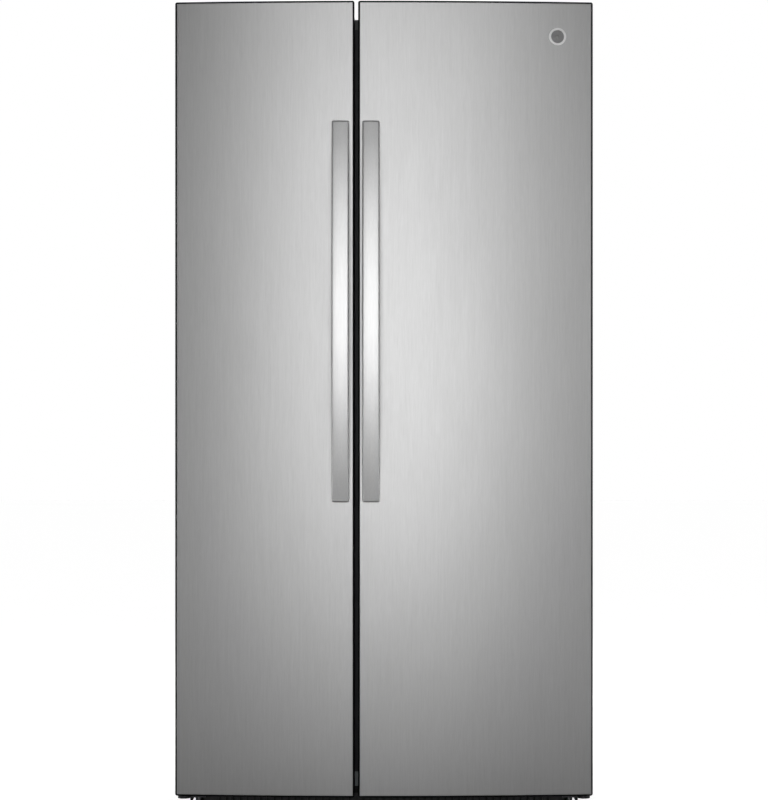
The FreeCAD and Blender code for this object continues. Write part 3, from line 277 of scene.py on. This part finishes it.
moulded("foam", (0.86, 0.80, 0.62), 0.85, grain=900, depth=0.0003)
moulded("liner_white", (0.93, 0.935, 0.935), 0.30, grain=1500, depth=0.00002, mottle=0.008)
moulded("trim_grey", (0.70, 0.71, 0.72), 0.38)
moulded("black_nylon", 0.12, 0.50)
moulded("dark_plastic", (0.14, 0.14, 0.145), 0.48)
moulded("cover_grey", (0.24, 0.24, 0.25), 0.48)
# The door frames' sides, made near black with little shine: partly their own dark paint, partly painted
# shade, so the frame round each skin reads as the dark outline round the doors.
moulded("door_frame_black", (0.032, 0.032, 0.034), 0.50, depth=0.00004, mottle=0.006, dust=0.015,
        Specular_IOR_Level=0.10)
moulded("gasket", (0.42, 0.42, 0.43), 0.58, grain=1800)
moulded("shelf_white", (0.91, 0.915, 0.915), 0.32, mottle=0.01)
moulded("slider_grey", (0.45, 0.47, 0.50), 0.28)
moulded("fan_plastic", (0.17, 0.17, 0.18), 0.42)
moulded("valve_plastic", (0.84, 0.85, 0.86), 0.42)
moulded("housing_grey", (0.86, 0.87, 0.875), 0.34)
moulded("lens", (0.96, 0.96, 0.94), 0.40, mottle=0.01,
        Emission_Color=(1.0, 0.97, 0.92, 1.0), Emission_Strength=10.0)

clear("bin_clear", (0.97, 0.975, 0.98), 0.06, 0.30, milk=0.45)
clear("crisper_clear", (0.97, 0.975, 0.98), 0.07, 0.36, milk=0.45)
clear("glass", (0.93, 0.98, 0.965), 0.01, 0.35, ior=1.5)

SLOT_OF = {row["node"]: row["material_slot"] for row in frame["record"]["subparts"]}
for node_name, node_object in frame["nodes"].items():
    node_object.data.materials.clear()
    node_object.data.materials.append(MATS[SLOT_OF[node_name]])


# ---- mesh helpers -----------------------------------------------------------------------------------------
BLOCK_ROUND = 0.0012
BLOCK_SOFT = 0.0006
BEND_STEPS = 6
LATHE_SIDES = 96


def piece(name, build, slot, body, replaced, sharp, finish=None):
    """A mesh object that rides on a body, stands for a CAD node and takes its slot's material or another."""
    mesh = bpy.data.meshes.new(name)
    mesh.from_pydata([tuple(v) for v in build.verts], [], build.faces)
    mesh.validate()
    mesh.update()
    mesh.materials.append(MATS[finish or slot])
    mesh.shade_smooth()
    mesh.set_sharp_from_angle(angle=math.radians(sharp))
    obj = bpy.data.objects.new(name, mesh)
    scene.collection.objects.link(obj)
    obj.modifiers.new("flat faces stay flat", "WEIGHTED_NORMAL").keep_sharp = True
    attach(obj, body)
    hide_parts(replaced)


def quarter(count):
    """Angles from 0 to a right angle."""
    return [math.pi / 2 * k / count for k in range(count + 1)]


def rounded_rectangle(u0, u1, v0, v1, radius, steps=6):
    """Points round a rectangle with rounded corners."""
    corners = ((u1 - radius, v1 - radius), (u0 + radius, v1 - radius),
               (u0 + radius, v0 + radius), (u1 - radius, v0 + radius))
    return [(cu + radius * math.cos(turn * math.pi / 2 + a), cv + radius * math.sin(turn * math.pi / 2 + a))
            for turn, (cu, cv) in enumerate(corners) for a in quarter(steps)]


class Build:
    """Collects vertices and faces of several closed shapes into one mesh."""

    def __init__(self):
        self.verts, self.faces = [], []

    def rings(self, rings, closed=False):
        """A skin over rings of equal length, capped at both ends unless the last joins the first."""
        start, n = len(self.verts), len(rings[0])
        for ring in rings:
            self.verts += ring
        count = len(rings)
        for i in range(count if closed else count - 1):
            a, b = start + i * n, start + (i + 1) % count * n
            for j in range(n):
                k = (j + 1) % n
                self.faces.append((a + j, a + k, b + k, b + j))
        if not closed:
            self.faces.append(tuple(start + j for j in reversed(range(n))))
            self.faces.append(tuple(start + (count - 1) * n + j for j in range(n)))

    def tube(self, points, radius, sides, closed=False):
        """A round wire through the points."""
        pts = [Vector(p) for p in points]
        n = len(pts)
        rings, up = [], None
        for i, p in enumerate(pts):
            ahead = pts[(i + 1) % n] if closed or i < n - 1 else p
            behind = pts[i - 1] if closed or i > 0 else p
            tangent = (ahead - behind).normalized()
            if up is None:
                up = Vector((0, 0, 1)) if abs(tangent.z) < 0.9 else Vector((1, 0, 0))
            up = (up - tangent * up.dot(tangent)).normalized()
            across = tangent.cross(up)
            rings.append([p + (up * math.cos(a) + across * math.sin(a)) * radius
                          for a in (2 * math.pi * k / sides for k in range(sides))])
        self.rings(rings, closed)

    def block(self, x0, x1, y0, y1, z0, z1):
        """A small moulded block: rounded upright edges, softened top and bottom."""
        levels = ((z0, BLOCK_SOFT), (z0 + BLOCK_SOFT, 0.0), (z1 - BLOCK_SOFT, 0.0), (z1, BLOCK_SOFT))
        self.rings([[(x, y, z) for x, y in
                     rounded_rectangle(x0 + gap, x1 - gap, y0 + gap, y1 - gap, BLOCK_ROUND - gap / 2, 3)]
                    for z, gap in levels])

    def lathe(self, profile, base, normal, closed=False):
        """Pairs of radius and height turned round the normal: a ring if closed, otherwise a disc."""
        side = normal.cross(Vector((0, 0, 1))).normalized()
        up = side.cross(normal)
        turns = [2 * math.pi * k / LATHE_SIDES for k in range(LATHE_SIDES)]
        self.rings([[base + (side * math.cos(a) + up * math.sin(a)) * r + normal * h for a in turns]
                    for r, h in profile], closed)


def rounded_path(corners, radius, closed=True):
    """Points round a path whose corners are arcs."""
    pts = [Vector(c) for c in corners]
    n, out = len(pts), []
    for i, p in enumerate(pts):
        if not closed and i in (0, n - 1):
            out.append(p)
            continue
        u, w = (pts[i - 1] - p).normalized(), (pts[(i + 1) % n] - p).normalized()
        half = u.angle(w) / 2
        reach = radius / math.tan(half)
        centre = p + (u + w).normalized() * (radius / math.sin(half))
        a, b = p + u * reach - centre, p + w * reach - centre
        sweep = a.angle(b)
        for k in range(BEND_STEPS + 1):
            t = k / BEND_STEPS
            out.append(centre + (a * math.sin((1 - t) * sweep) + b * math.sin(t * sweep)) / math.sin(sweep))
    return out


# ---- door skins: thin steel with rolled edges on the bowed front ------------------------------------------
ROLL = 0.0011
ROLL_STEPS = 4
COLUMN = 0.004
SKIN_ROWS = 24


def rolled_lines(low, high, count):
    """Positions across a sheet and how far back each lies, with the edges rolled over."""
    turn = [(ROLL * (1 - math.cos(a)), ROLL * (1 - math.sin(a))) for a in quarter(ROLL_STEPS)[:-1]]
    lines = [(low + p, d) for p, d in turn]
    lines += [(low + ROLL + (high - low - 2 * ROLL) * k / count, 0.0) for k in range(count + 1)]
    return lines + [(high - p, d) for p, d in reversed(turn)]


def door_skin(name, body):
    low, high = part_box(f"{body}_frame")
    margin = BEZEL + SLACK
    columns = round((high.x - low.x - 2 * margin) / COLUMN)
    xs = rolled_lines(low.x + margin, high.x - margin, columns)
    zs = rolled_lines(low.z + margin, high.z - margin, SKIN_ROWS)
    b = Build()
    for back in (False, True):
        for z, dz in zs:
            b.verts += [(x, front_y(x) + (SHEET if back else max(dx, dz)), z) for x, dx in xs]
    nx, nz = len(xs), len(zs)
    size = nx * nz
    for j in range(nz - 1):
        for i in range(nx - 1):
            a = j * nx + i
            b.faces.append((a, a + 1, a + nx + 1, a + nx))
            b.faces.append((size + a, size + a + nx, size + a + nx + 1, size + a + 1))
    rim = list(range(nx)) + [j * nx + nx - 1 for j in range(1, nz)]
    rim += [(nz - 1) * nx + i for i in range(nx - 2, -1, -1)] + [j * nx for j in range(nz - 2, 0, -1)]
    for k, a in enumerate(rim):
        c = rim[(k + 1) % len(rim)]
        b.faces.append((c, a, size + a, size + c))
    piece(name, b, "stainless", body, f"{body}_skin", sharp=60)


door_skin("freezer_skin_sheet", "freezer_door")
door_skin("fresh_food_skin_sheet", "fresh_food_door")


# ---- handles ----------------------------------------------------------------------------------------------
HANDLE_CORNER = 0.004  # round of the bar's corners seen from the front
HANDLE_EDGE = 0.003  # round along its front edges
HANDLE_CAP = 0.003  # round over its two ends
HANDLE_CROWN = 0.0006  # how much the bar's face is domed across
HANDLE_REAR = 0.0018
CORNER_STEPS, EDGE_STEPS, CROWN_STEPS, REAR_STEPS = 8, 6, 4, 3
FOOT_MIDDLE = (0.45, 0.5)  # a section partway up the foot, as shares of it at the bar's front and back
FOOT_TOP = (0.006, 0.0005)  # the foot's last section stops this far below the grip, front and back
GRIP_FILLET = 0.009
GRIP_STEPS = 6
GRIP_LEAD = 0.004  # the grip's first sections lean: their fronts start this far below it
BAR_STATIONS = 56


def arc_y(z, depth=0.0):
    """y of the handle's outer arc, or of an arc that far inside it, at a height."""
    mid, half = sum(HANDLE_Z) / 2, (HANDLE_Z[1] - HANDLE_Z[0]) / 2
    sag = HANDLE_END - HANDLE_MID
    radius = (half**2 + sag**2) / (2 * sag)
    return HANDLE_MID + radius - math.sqrt((radius - depth) ** 2 - (z - mid) ** 2)


def round_over(radius, distance):
    """How far a round stands back at a distance from its end."""
    gap = min(radius, max(0.0, radius - distance))
    return radius - math.sqrt(radius**2 - gap**2)


def handle_stations():
    """Front height, back height and back y of each section: no back y where a foot meets the door."""
    low, high = HANDLE_Z
    grip_low, grip_high = low + HANDLE_FOOT, high - HANDLE_FOOT
    ends = [low + HANDLE_CORNER * (1 - math.cos(a)) for a in quarter(CORNER_STEPS)]
    foot = [(z, z, None) for z in ends]
    foot.append((low + HANDLE_FOOT * FOOT_MIDDLE[0], low + HANDLE_FOOT * FOOT_MIDDLE[1], None))
    foot.append((grip_low - FOOT_TOP[0], grip_low - FOOT_TOP[1], None))
    for k, a in enumerate(quarter(GRIP_STEPS)):
        z = grip_low + GRIP_FILLET * (1 - math.cos(a))
        y = arc_y(z, HANDLE_THICK) + GRIP_FILLET * (1 - math.sin(a))
        foot.append((grip_low - GRIP_LEAD + (GRIP_FILLET + GRIP_LEAD) * k / GRIP_STEPS, z, y))
    bar_low, bar_high = grip_low + GRIP_FILLET, grip_high - GRIP_FILLET
    bar = [bar_low + (bar_high - bar_low) * k / BAR_STATIONS for k in range(1, BAR_STATIONS)]
    bar = [(z, z, arc_y(z, HANDLE_THICK)) for z in bar]
    return foot + bar + [(low + high - front, low + high - back, y) for front, back, y in reversed(foot)]


def handle_section(x, z_front, z_back, y_back):
    """One closed section of the bar: rounded front corners, then softer ones at the back."""
    to_end = min(z_front - HANDLE_Z[0], HANDLE_Z[1] - z_front)
    half = HANDLE_HALF - round_over(HANDLE_CORNER, to_end)
    y_front = arc_y(z_front) + round_over(HANDLE_CAP, to_end)
    flat = half - HANDLE_EDGE
    right = [(half - HANDLE_EDGE * (1 - math.cos(a)), HANDLE_CROWN + HANDLE_EDGE * (1 - math.sin(a)))
             for a in quarter(EDGE_STEPS)]
    to_middle = [1 - k / CROWN_STEPS for k in range(1, CROWN_STEPS + 1)]
    right += [(flat * share, HANDLE_CROWN * share**2) for share in to_middle]
    section = [Vector((x + across, y_front + back, z_front)) for across, back in right]
    section += [Vector((x - across, y_front + back, z_front)) for across, back in reversed(right[:-1])]
    for side, angles in ((-1, quarter(REAR_STEPS)), (1, quarter(REAR_STEPS)[::-1])):
        for a in angles:
            px = x + side * half
            if y_back is None:
                y = front_y(px) - SLACK - HANDLE_REAR * (1 - math.sin(a))
            else:
                px -= side * HANDLE_REAR * (1 - math.cos(a))
                y = y_back - HANDLE_REAR * (1 - math.sin(a))
            section.append(Vector((px, y, z_back)))
    return section


def handle(name, node, body):
    low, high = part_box(node)
    x = (low.x + high.x) / 2
    b = Build()
    b.rings([handle_section(x, *station) for station in handle_stations()])
    piece(name, b, "handle_steel", body, node, sharp=50)


handle("freezer_bar", "freezer_handle", "freezer_door")
handle("fresh_food_bar", "fresh_food_handle", "fresh_food_door")


# ---- badge: a bright raised ring round a grooved disc with a small dome -----------------------------------
RING_WIDTH = 0.0048
RING_ROUND = 0.0007
RING_STEPS = 5
DISC_TOP = 0.0014
DISC_EDGE = 0.0005
GROOVES = 7
GROOVE_SHAPE = (0.35, 0.5, 0.8)  # where its flat ends, its floor begins and its floor ends, in pitches
GROOVE_FLOOR = 0.0011
GROOVES_END = 0.004  # the radius where the grooves stop
DOME_R = 0.0036
DOME_RISE = 0.0008
DOME_STEPS = 6
MIDDLE_R = 0.0001  # a disc's faces stop at a tiny flat instead of a point


def ring_edge(radius, inward):
    """The ring's rounded top edge, from its side up to its face."""
    return [(radius + inward * RING_ROUND * (1 - math.cos(a)), BADGE_HEIGHT - RING_ROUND * (1 - math.sin(a)))
            for a in quarter(RING_STEPS)]


def badge():
    """Both pieces square to the bowed front."""
    x, z = BADGE
    angle = math.asin(x / FRONT_RADIUS)
    normal = Vector((math.sin(angle), -math.cos(angle), 0))
    base = Vector((x, front_y(x), z)) + normal * SLACK
    inner = BADGE_R - RING_WIDTH
    ring = [(BADGE_R, 0.0), *ring_edge(BADGE_R, -1), *reversed(ring_edge(inner, 1)), (inner, 0.0)]
    b = Build()
    b.lathe(ring, base, normal, closed=True)
    piece("badge_ring", b, "badge_chrome", "fresh_food_door", "badge", sharp=60)

    inner -= SLACK
    disc = [(MIDDLE_R, 0.0), (inner, 0.0), (inner, DISC_TOP)]
    pitch = (inner - GROOVES_END) / GROOVES
    for k in range(GROOVES):
        r = inner - DISC_EDGE - k * pitch
        flat_end, floor_start, floor_end = (r - pitch * share for share in GROOVE_SHAPE)
        disc += [(r, DISC_TOP), (flat_end, DISC_TOP), (floor_start, GROOVE_FLOOR), (floor_end, GROOVE_FLOOR)]
    disc += [(DOME_R, DISC_TOP)]
    disc += [(DOME_R * math.cos(a) + MIDDLE_R, DISC_TOP + DOME_RISE * math.sin(a))
             for a in quarter(DOME_STEPS)[1:]]
    b = Build()
    b.lathe(disc, base, normal)
    piece("badge_disc", b, "badge_chrome", "fresh_food_door", "badge", sharp=30, finish="badge_dark")


badge()


# ---- door inner panels: one formed sheet each, with the raised ring that holds the bins -------------------
PLATE_ROUND = 0.002
PLATE_SOFT = 0.0006
PLATE_LIFT = 0.0005
FOOT_ROUND = 0.004  # where the ring rises from the plate
BROW_ROUND = 0.006  # over the ring's top edges
DRAFT = 0.0012
DYKE_ROUND = 0.022
WELL_ROUND = 0.012
FOOT_STEPS, BROW_STEPS = 5, 7
LUG_Y = (DOOR_BACK + 0.014, DOOR_BACK + 0.044)
LUG_HEIGHT = 0.024
ROOT = 0.002  # how far a lug or hook goes into its wall


def panel_ring(bounds, grow, radius, y):
    x0, x1, z0, z1 = bounds
    return [(x, y, z) for x, z in
            reversed(rounded_rectangle(x0 - grow, x1 + grow, z0 - grow, z1 + grow, radius + grow))]


def rise(rounding, steps):
    """Steps of a quarter round as pairs: how much of it is still to go across, and how far it has come up."""
    return [(rounding * (1 - math.sin(a)), rounding * (1 - math.cos(a))) for a in quarter(steps)]


def inner_panel(name, dyke, bins, body):
    low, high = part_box(f"{body}_liner")
    plate = (low.x, high.x, low.z, high.z)
    ring = (*dyke, *DYKE_Z)
    well = (dyke[0] + DYKE_WALL, dyke[1] - DYKE_WALL, DYKE_Z[0] + DYKE_WALL, DYKE_Z[1] - DYKE_WALL)
    foot, brow = rise(FOOT_ROUND, FOOT_STEPS), rise(BROW_ROUND, BROW_STEPS)
    rings = [panel_ring(plate, grow, PLATE_ROUND, y)
             for grow, y in ((-PLATE_SOFT, low.y), (0.0, low.y + PLATE_LIFT),
                             (0.0, DOOR_BACK - PLATE_SOFT), (-PLATE_SOFT, DOOR_BACK))]
    rings += [panel_ring(ring, across, DYKE_ROUND, DOOR_BACK + up) for across, up in foot]
    rings += [panel_ring(ring, -DRAFT - up, DYKE_ROUND, high.y - across) for across, up in brow]
    rings += [panel_ring(well, DRAFT + across, WELL_ROUND, high.y - up) for across, up in brow]
    rings += [panel_ring(well, -up, WELL_ROUND, DOOR_BACK + across) for across, up in foot]
    b = Build()
    b.rings(rings)
    for level, height in bins:
        top = level + height - LUG_DROP
        b.block(well[0] - ROOT, well[0] + LUG, *LUG_Y, top - LUG_HEIGHT, top)
        b.block(well[1] - LUG, well[1] + ROOT, *LUG_Y, top - LUG_HEIGHT, top)
    piece(name, b, "liner_white", body, f"{body}_liner", sharp=40)


inner_panel("freezer_inner_panel", FREEZER_DYKE, FREEZER_BINS, "freezer_door")
inner_panel("fresh_food_inner_panel", FRESH_DYKE, FRESH_BINS, "fresh_food_door")


# ---- door bins: clear trays with a rolled rim, hung on the lugs -------------------------------------------
BIN_BACK = DOOR_BACK + 0.003
BIN_WALL = 0.0024
BIN_CORNER = 0.016
LEAST_CORNER = 0.003
BIN_FOOT = 0.006
RIM = 0.0013  # how far the rim stands out from the wall below it
OVER_RIM = ((RIM, 0.0085), (0.0003, 0.0070), (0.0, 0.0062), (0.0, 0.0012), (0.0004, 0.0003), (0.0011, 0.0),
            (RIM + BIN_WALL - 0.0009, 0.0), (RIM + BIN_WALL - 0.0002, 0.0003), (RIM + BIN_WALL, 0.0011))
HOOK_Y = (DOOR_BACK + 0.016, DOOR_BACK + 0.042)
HOOK_GAP = 0.0003  # a hook hangs this far over its lug
HOOK_TOP = 0.012


def tray(build, x0, x1, level, height):
    """One bin: outside up from the foot, over the rim, and down the inside to the floor."""
    top, floor_z = level + height, level + BIN_WALL
    foot = rise(BIN_FOOT, FOOT_STEPS)
    outside = [(RIM + across, level + up) for across, up in foot]
    rim = [(gap, top - down) for gap, down in OVER_RIM]
    inside = [(RIM + BIN_WALL + up, floor_z + across) for across, up in foot]
    build.rings([[(x, y, z) for x, y in
                  rounded_rectangle(x0 + gap, x1 - gap, BIN_BACK + gap, BIN_FRONT - gap,
                                    max(BIN_CORNER - gap, LEAST_CORNER))]
                 for gap, z in outside + rim + inside])


def door_bins(name, dyke, bins, body):
    x0, x1 = dyke[0] + DYKE_WALL + BIN_PLAY, dyke[1] - DYKE_WALL - BIN_PLAY
    b = Build()
    for level, height in bins:
        tray(b, x0, x1, level, height)
        lug = level + height - LUG_DROP
        b.block(x0 - LUG, x0 + ROOT, *HOOK_Y, lug + HOOK_GAP, lug + HOOK_TOP)
        b.block(x1 - ROOT, x1 + LUG, *HOOK_Y, lug + HOOK_GAP, lug + HOOK_TOP)
    piece(name, b, "bin_clear", body, f"{body}_bins", sharp=40)


door_bins("freezer_trays", FREEZER_DYKE, FREEZER_BINS, "freezer_door")
door_bins("fresh_food_trays", FRESH_DYKE, FRESH_BINS, "fresh_food_door")


# ---- gaskets: a bellows profile with its magnet pocket, mitred at the corners -----------------------------
# Pairs: in from the gasket's outer edge, and out from the door.
BELLOWS = ((0.0010, 0.0), (0.0150, 0.0), (0.0160, 0.0010), (0.0130, 0.0026),
           (0.0125, 0.0036), (0.0185, 0.0052), (0.0200, 0.0066), (0.0200, 0.0106),
           (0.0190, 0.0116), (0.0010, 0.0116), (0.0, 0.0106), (0.0, 0.0076),
           (0.0030, 0.0060), (0.0038, 0.0046), (0.0008, 0.0028), (0.0, 0.0012))
BELLOWS_DEPTH = max(out for across, out in BELLOWS)


def gasket(name, body):
    low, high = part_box(f"{body}_gasket")
    corners = [(low.x, low.z, 1, 1), (high.x, low.z, -1, 1), (high.x, high.z, -1, -1), (low.x, high.z, 1, -1)]
    depth = (high.y - low.y) / BELLOWS_DEPTH
    b = Build()
    b.rings([[Vector((cx + sx * p, low.y + d * depth, cz + sz * p)) for p, d in BELLOWS]
             for cx, cz, sx, sz in corners], closed=True)
    piece(name, b, "gasket", body, f"{body}_gasket", sharp=50)


gasket("freezer_seal", "freezer_door")
gasket("fresh_food_seal", "fresh_food_door")


# ---- wire baskets -----------------------------------------------------------------------------------------
WIRE = 0.0014
WIRE_PITCH = 0.022
RIM_WIRE = 0.0030
BAND_WIRE = 0.0022
THICK_SIDES, THIN_SIDES = 12, 8
LEFT_GAP, RIGHT_GAP = 0.016, 0.010  # from the basket's box in to the middle of its upright wires
WALL_GAP = 0.003
RIM_GAP = 0.0035
BAND_DROP = 0.045
BASKET_CORNER = 0.018
HOOP_GAP = 0.0032  # the hoops stand this far inside the rim
HOOP_BEND = 0.016
CROSSING = 0.0026  # wires that run front to back lie this far over those that run across
RUNNER_GAP = 0.005
RUNNER_DROP = 0.0016
RUNNER_BEND = 0.005
RUNNER_FRONT = (0.013, 0.021)  # from the rim's front to where a runner leaves it and where it lies straight
RUNNER_BACK = (0.008, 0.016)


def wire_places(low, high):
    """Even places for the wires between two corners."""
    count = round((high - low) / WIRE_PITCH)
    return [low + (high - low) * k / count for k in range(count + 1)]


def wire_basket(name, body):
    """Rim and two bands of heavy wire, hoops both ways of thin wire, and the runners that carry it."""
    low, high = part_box(body)
    x0, x1 = low.x + LEFT_GAP, high.x - RIGHT_GAP
    y0, y1 = low.y + WALL_GAP, high.y - WALL_GAP
    base, top = low.z + WALL_GAP, high.z - RIM_GAP
    b = Build()
    for level, radius in ((top, RIM_WIRE), (top - BAND_DROP, BAND_WIRE), ((base + top) / 2, BAND_WIRE)):
        ring = [(x0, y0, level), (x1, y0, level), (x1, y1, level), (x0, y1, level)]
        b.tube(rounded_path(ring, BASKET_CORNER), radius, THICK_SIDES, closed=True)
    left, right, front, back = x0 + HOOP_GAP, x1 - HOOP_GAP, y0 + HOOP_GAP, y1 - HOOP_GAP
    for y in wire_places(y0 + BASKET_CORNER, y1 - BASKET_CORNER):
        path = [(left, y, top), (left, y, base), (right, y, base), (right, y, top)]
        b.tube(rounded_path(path, HOOP_BEND, closed=False), WIRE, THIN_SIDES)
    over = base + CROSSING
    for x in wire_places(x0 + BASKET_CORNER, x1 - BASKET_CORNER):
        path = [(x, front, top), (x, front, over), (x, back, over), (x, back, top)]
        b.tube(rounded_path(path, HOOP_BEND, closed=False), WIRE, THIN_SIDES)
    slide_z = high.z - RUNNER_DROP
    for edge, slide_x in ((x0, low.x + RUNNER_GAP), (x1, high.x - RUNNER_GAP)):
        path = [(edge, y0 + RUNNER_FRONT[0], top), (slide_x, y0 + RUNNER_FRONT[1], slide_z),
                (slide_x, y1 - RUNNER_BACK[1], slide_z), (edge, y1 - RUNNER_BACK[0], top)]
        b.tube(rounded_path(path, RUNNER_BEND, closed=False), WIRE, THIN_SIDES)
    piece(name, b, "wire_white", body, body, sharp=60)


wire_basket("basket_wires_upper", "freezer_basket_upper")
wire_basket("basket_wires_lower", "freezer_basket_lower")


# ---- studio -----------------------------------------------------------------------------------------------
FLOOR_REACH = 14.0
FLOOR_SEEN = 0.93  # its tone and its own light where it is seen, and its tone where light bounces
FLOOR_GLOW = 0.70
FLOOR_BOUNCE = 0.735
BACK_SKY = 0.75  # strength of the light walls
SIDE_SKY = 1.0
FRONT_SKY = 0.10
WHITE = (1.0, 1.0, 1.0, 1.0)


def pale_floor():
    """A floor that reads near white, with a soft shadow, and throws less light back than it shows."""
    s = Surface("floor_pale", Roughness=0.9, Specular_IOR_Level=0.0, Emission_Color=WHITE)
    seen = s.new("LightPath").outputs["Is Camera Ray"]
    mottle = s.mix(s.noise(1.2, 2.0, 0.5), FLOOR_SEEN - 0.01, FLOOR_SEEN)
    s.principled(Base_Color=s.mix(seen, FLOOR_BOUNCE, mottle), Emission_Strength=s.times(seen, FLOOR_GLOW))
    corners = [(-FLOOR_REACH, -FLOOR_REACH, 0), (FLOOR_REACH, -FLOOR_REACH, 0),
               (FLOOR_REACH, FLOOR_REACH, 0), (-FLOOR_REACH, FLOOR_REACH, 0)]
    mesh = bpy.data.meshes.new("floor")
    mesh.from_pydata(corners, [], [(0, 1, 2, 3)])
    mesh.materials.append(MATS["floor_pale"])
    floor = bpy.data.objects.new("floor", mesh)
    scene.collection.objects.link(floor)


def sky():
    """The studio round the object: light walls behind, a darker room in front, and white where it is seen."""
    scene.world = bpy.data.worlds.new("studio")
    scene.world.use_nodes = True
    s = Shader(scene.world.node_tree)
    # Each ramp goes from 0 to 1 between two values of one part of the unit direction.
    toward = s.new("SeparateXYZ", Vector=s.new("TexCoord").outputs["Generated"]).outputs
    back = s.ramp(toward["Y"], -0.10, 0.60)
    upper = s.ramp(toward["Z"], 0.25, 0.60)
    front_up = s.times(s.combine("SUBTRACT", 1.0, back), upper)
    beside = s.ramp(s.combine("ABSOLUTE", toward["X"], 0.0), 0.72, 0.90)
    beside = s.times(beside, s.ramp(toward["Y"], -0.30, 0.05))
    lit = s.plus(s.times(back, BACK_SKY), s.times(front_up, FRONT_SKY))
    lit = s.combine("MAXIMUM", lit, s.times(beside, SIDE_SKY))
    seen = s.new("LightPath").outputs["Is Camera Ray"]
    s.feed(s.nodes["Background"], Color=WHITE, Strength=s.combine("MAXIMUM", lit, seen))


def softbox(name, place, aim, width, height, watts, spread=90):
    light = bpy.data.lights.new(name, "AREA")
    light.spread = math.radians(spread)
    light.shape = "RECTANGLE"
    light.size, light.size_y = width, height
    light.energy = watts
    obj = bpy.data.objects.new(name, light)
    obj.location = place
    obj.rotation_euler = (Vector(aim) - Vector(place)).to_track_quat("-Z", "Y").to_euler()
    obj.visible_camera = False
    scene.collection.objects.link(obj)


FRONT_Y = -6.4
FRONT_BANDS = ((0.4, 4.1), (1.1, 3.55), (1.8, 3.85), (2.5, 1.7))  # height and watts of each

pale_floor()
sky()
for band, (band_z, band_watts) in enumerate(FRONT_BANDS):
    softbox(f"front_band_{band}", (0.0, FRONT_Y, band_z), (0.0, 0.0, band_z), 2.2, 0.7, band_watts)
softbox("front_high", (0.0, FRONT_Y, 3.3), (0.0, 0.0, 2.5), 2.6, 0.9, 3.9)
softbox("front_top", (0.0, -6.0, 4.8), (0.0, 0.0, 1.5), 3.2, 1.6, 0.4)
softbox("front_left", (-2.6, -6.0, 1.7), (0.0, 0.0, 1.2), 1.6, 2.4, 0.9)
softbox("front_right", (2.6, -6.0, 1.7), (0.0, 0.0, 1.2), 1.6, 2.4, 2.4)
for pool, way in (("pool_left", -1), ("pool_right", 1)):
    softbox(pool, (way * 2.6, -1.8, 3.2), (way * 2.8, -1.8, 0.0), 1.2, 1.8, 46.0, spread=50)
softbox("behind", (0.0, 3.6, 2.6), (0.0, 0.4, 0.8), 2.6, 1.6, 30.0)


# ---- camera -----------------------------------------------------------------------------------------------
CAMERA_REACH = 4.5  # from the camera to the door front
CAMERA_Z = 0.9105
CAMERA_LENS = 93.58  # in millimetres, on a sensor 36 mm wide

camera_data = bpy.data.cameras.new("camera")
camera_data.sensor_width = 36.0
camera_data.lens = CAMERA_LENS
camera_data.clip_end = 60.0
camera = bpy.data.objects.new("camera", camera_data)
camera.location = (0.0, DOOR_FRONT - CAMERA_REACH, CAMERA_Z)
camera.rotation_euler = (math.pi / 2, 0.0, 0.0)
scene.collection.objects.link(camera)
scene.camera = camera
scene.view_settings.view_transform = "Standard"
scene.view_settings.look = "None"
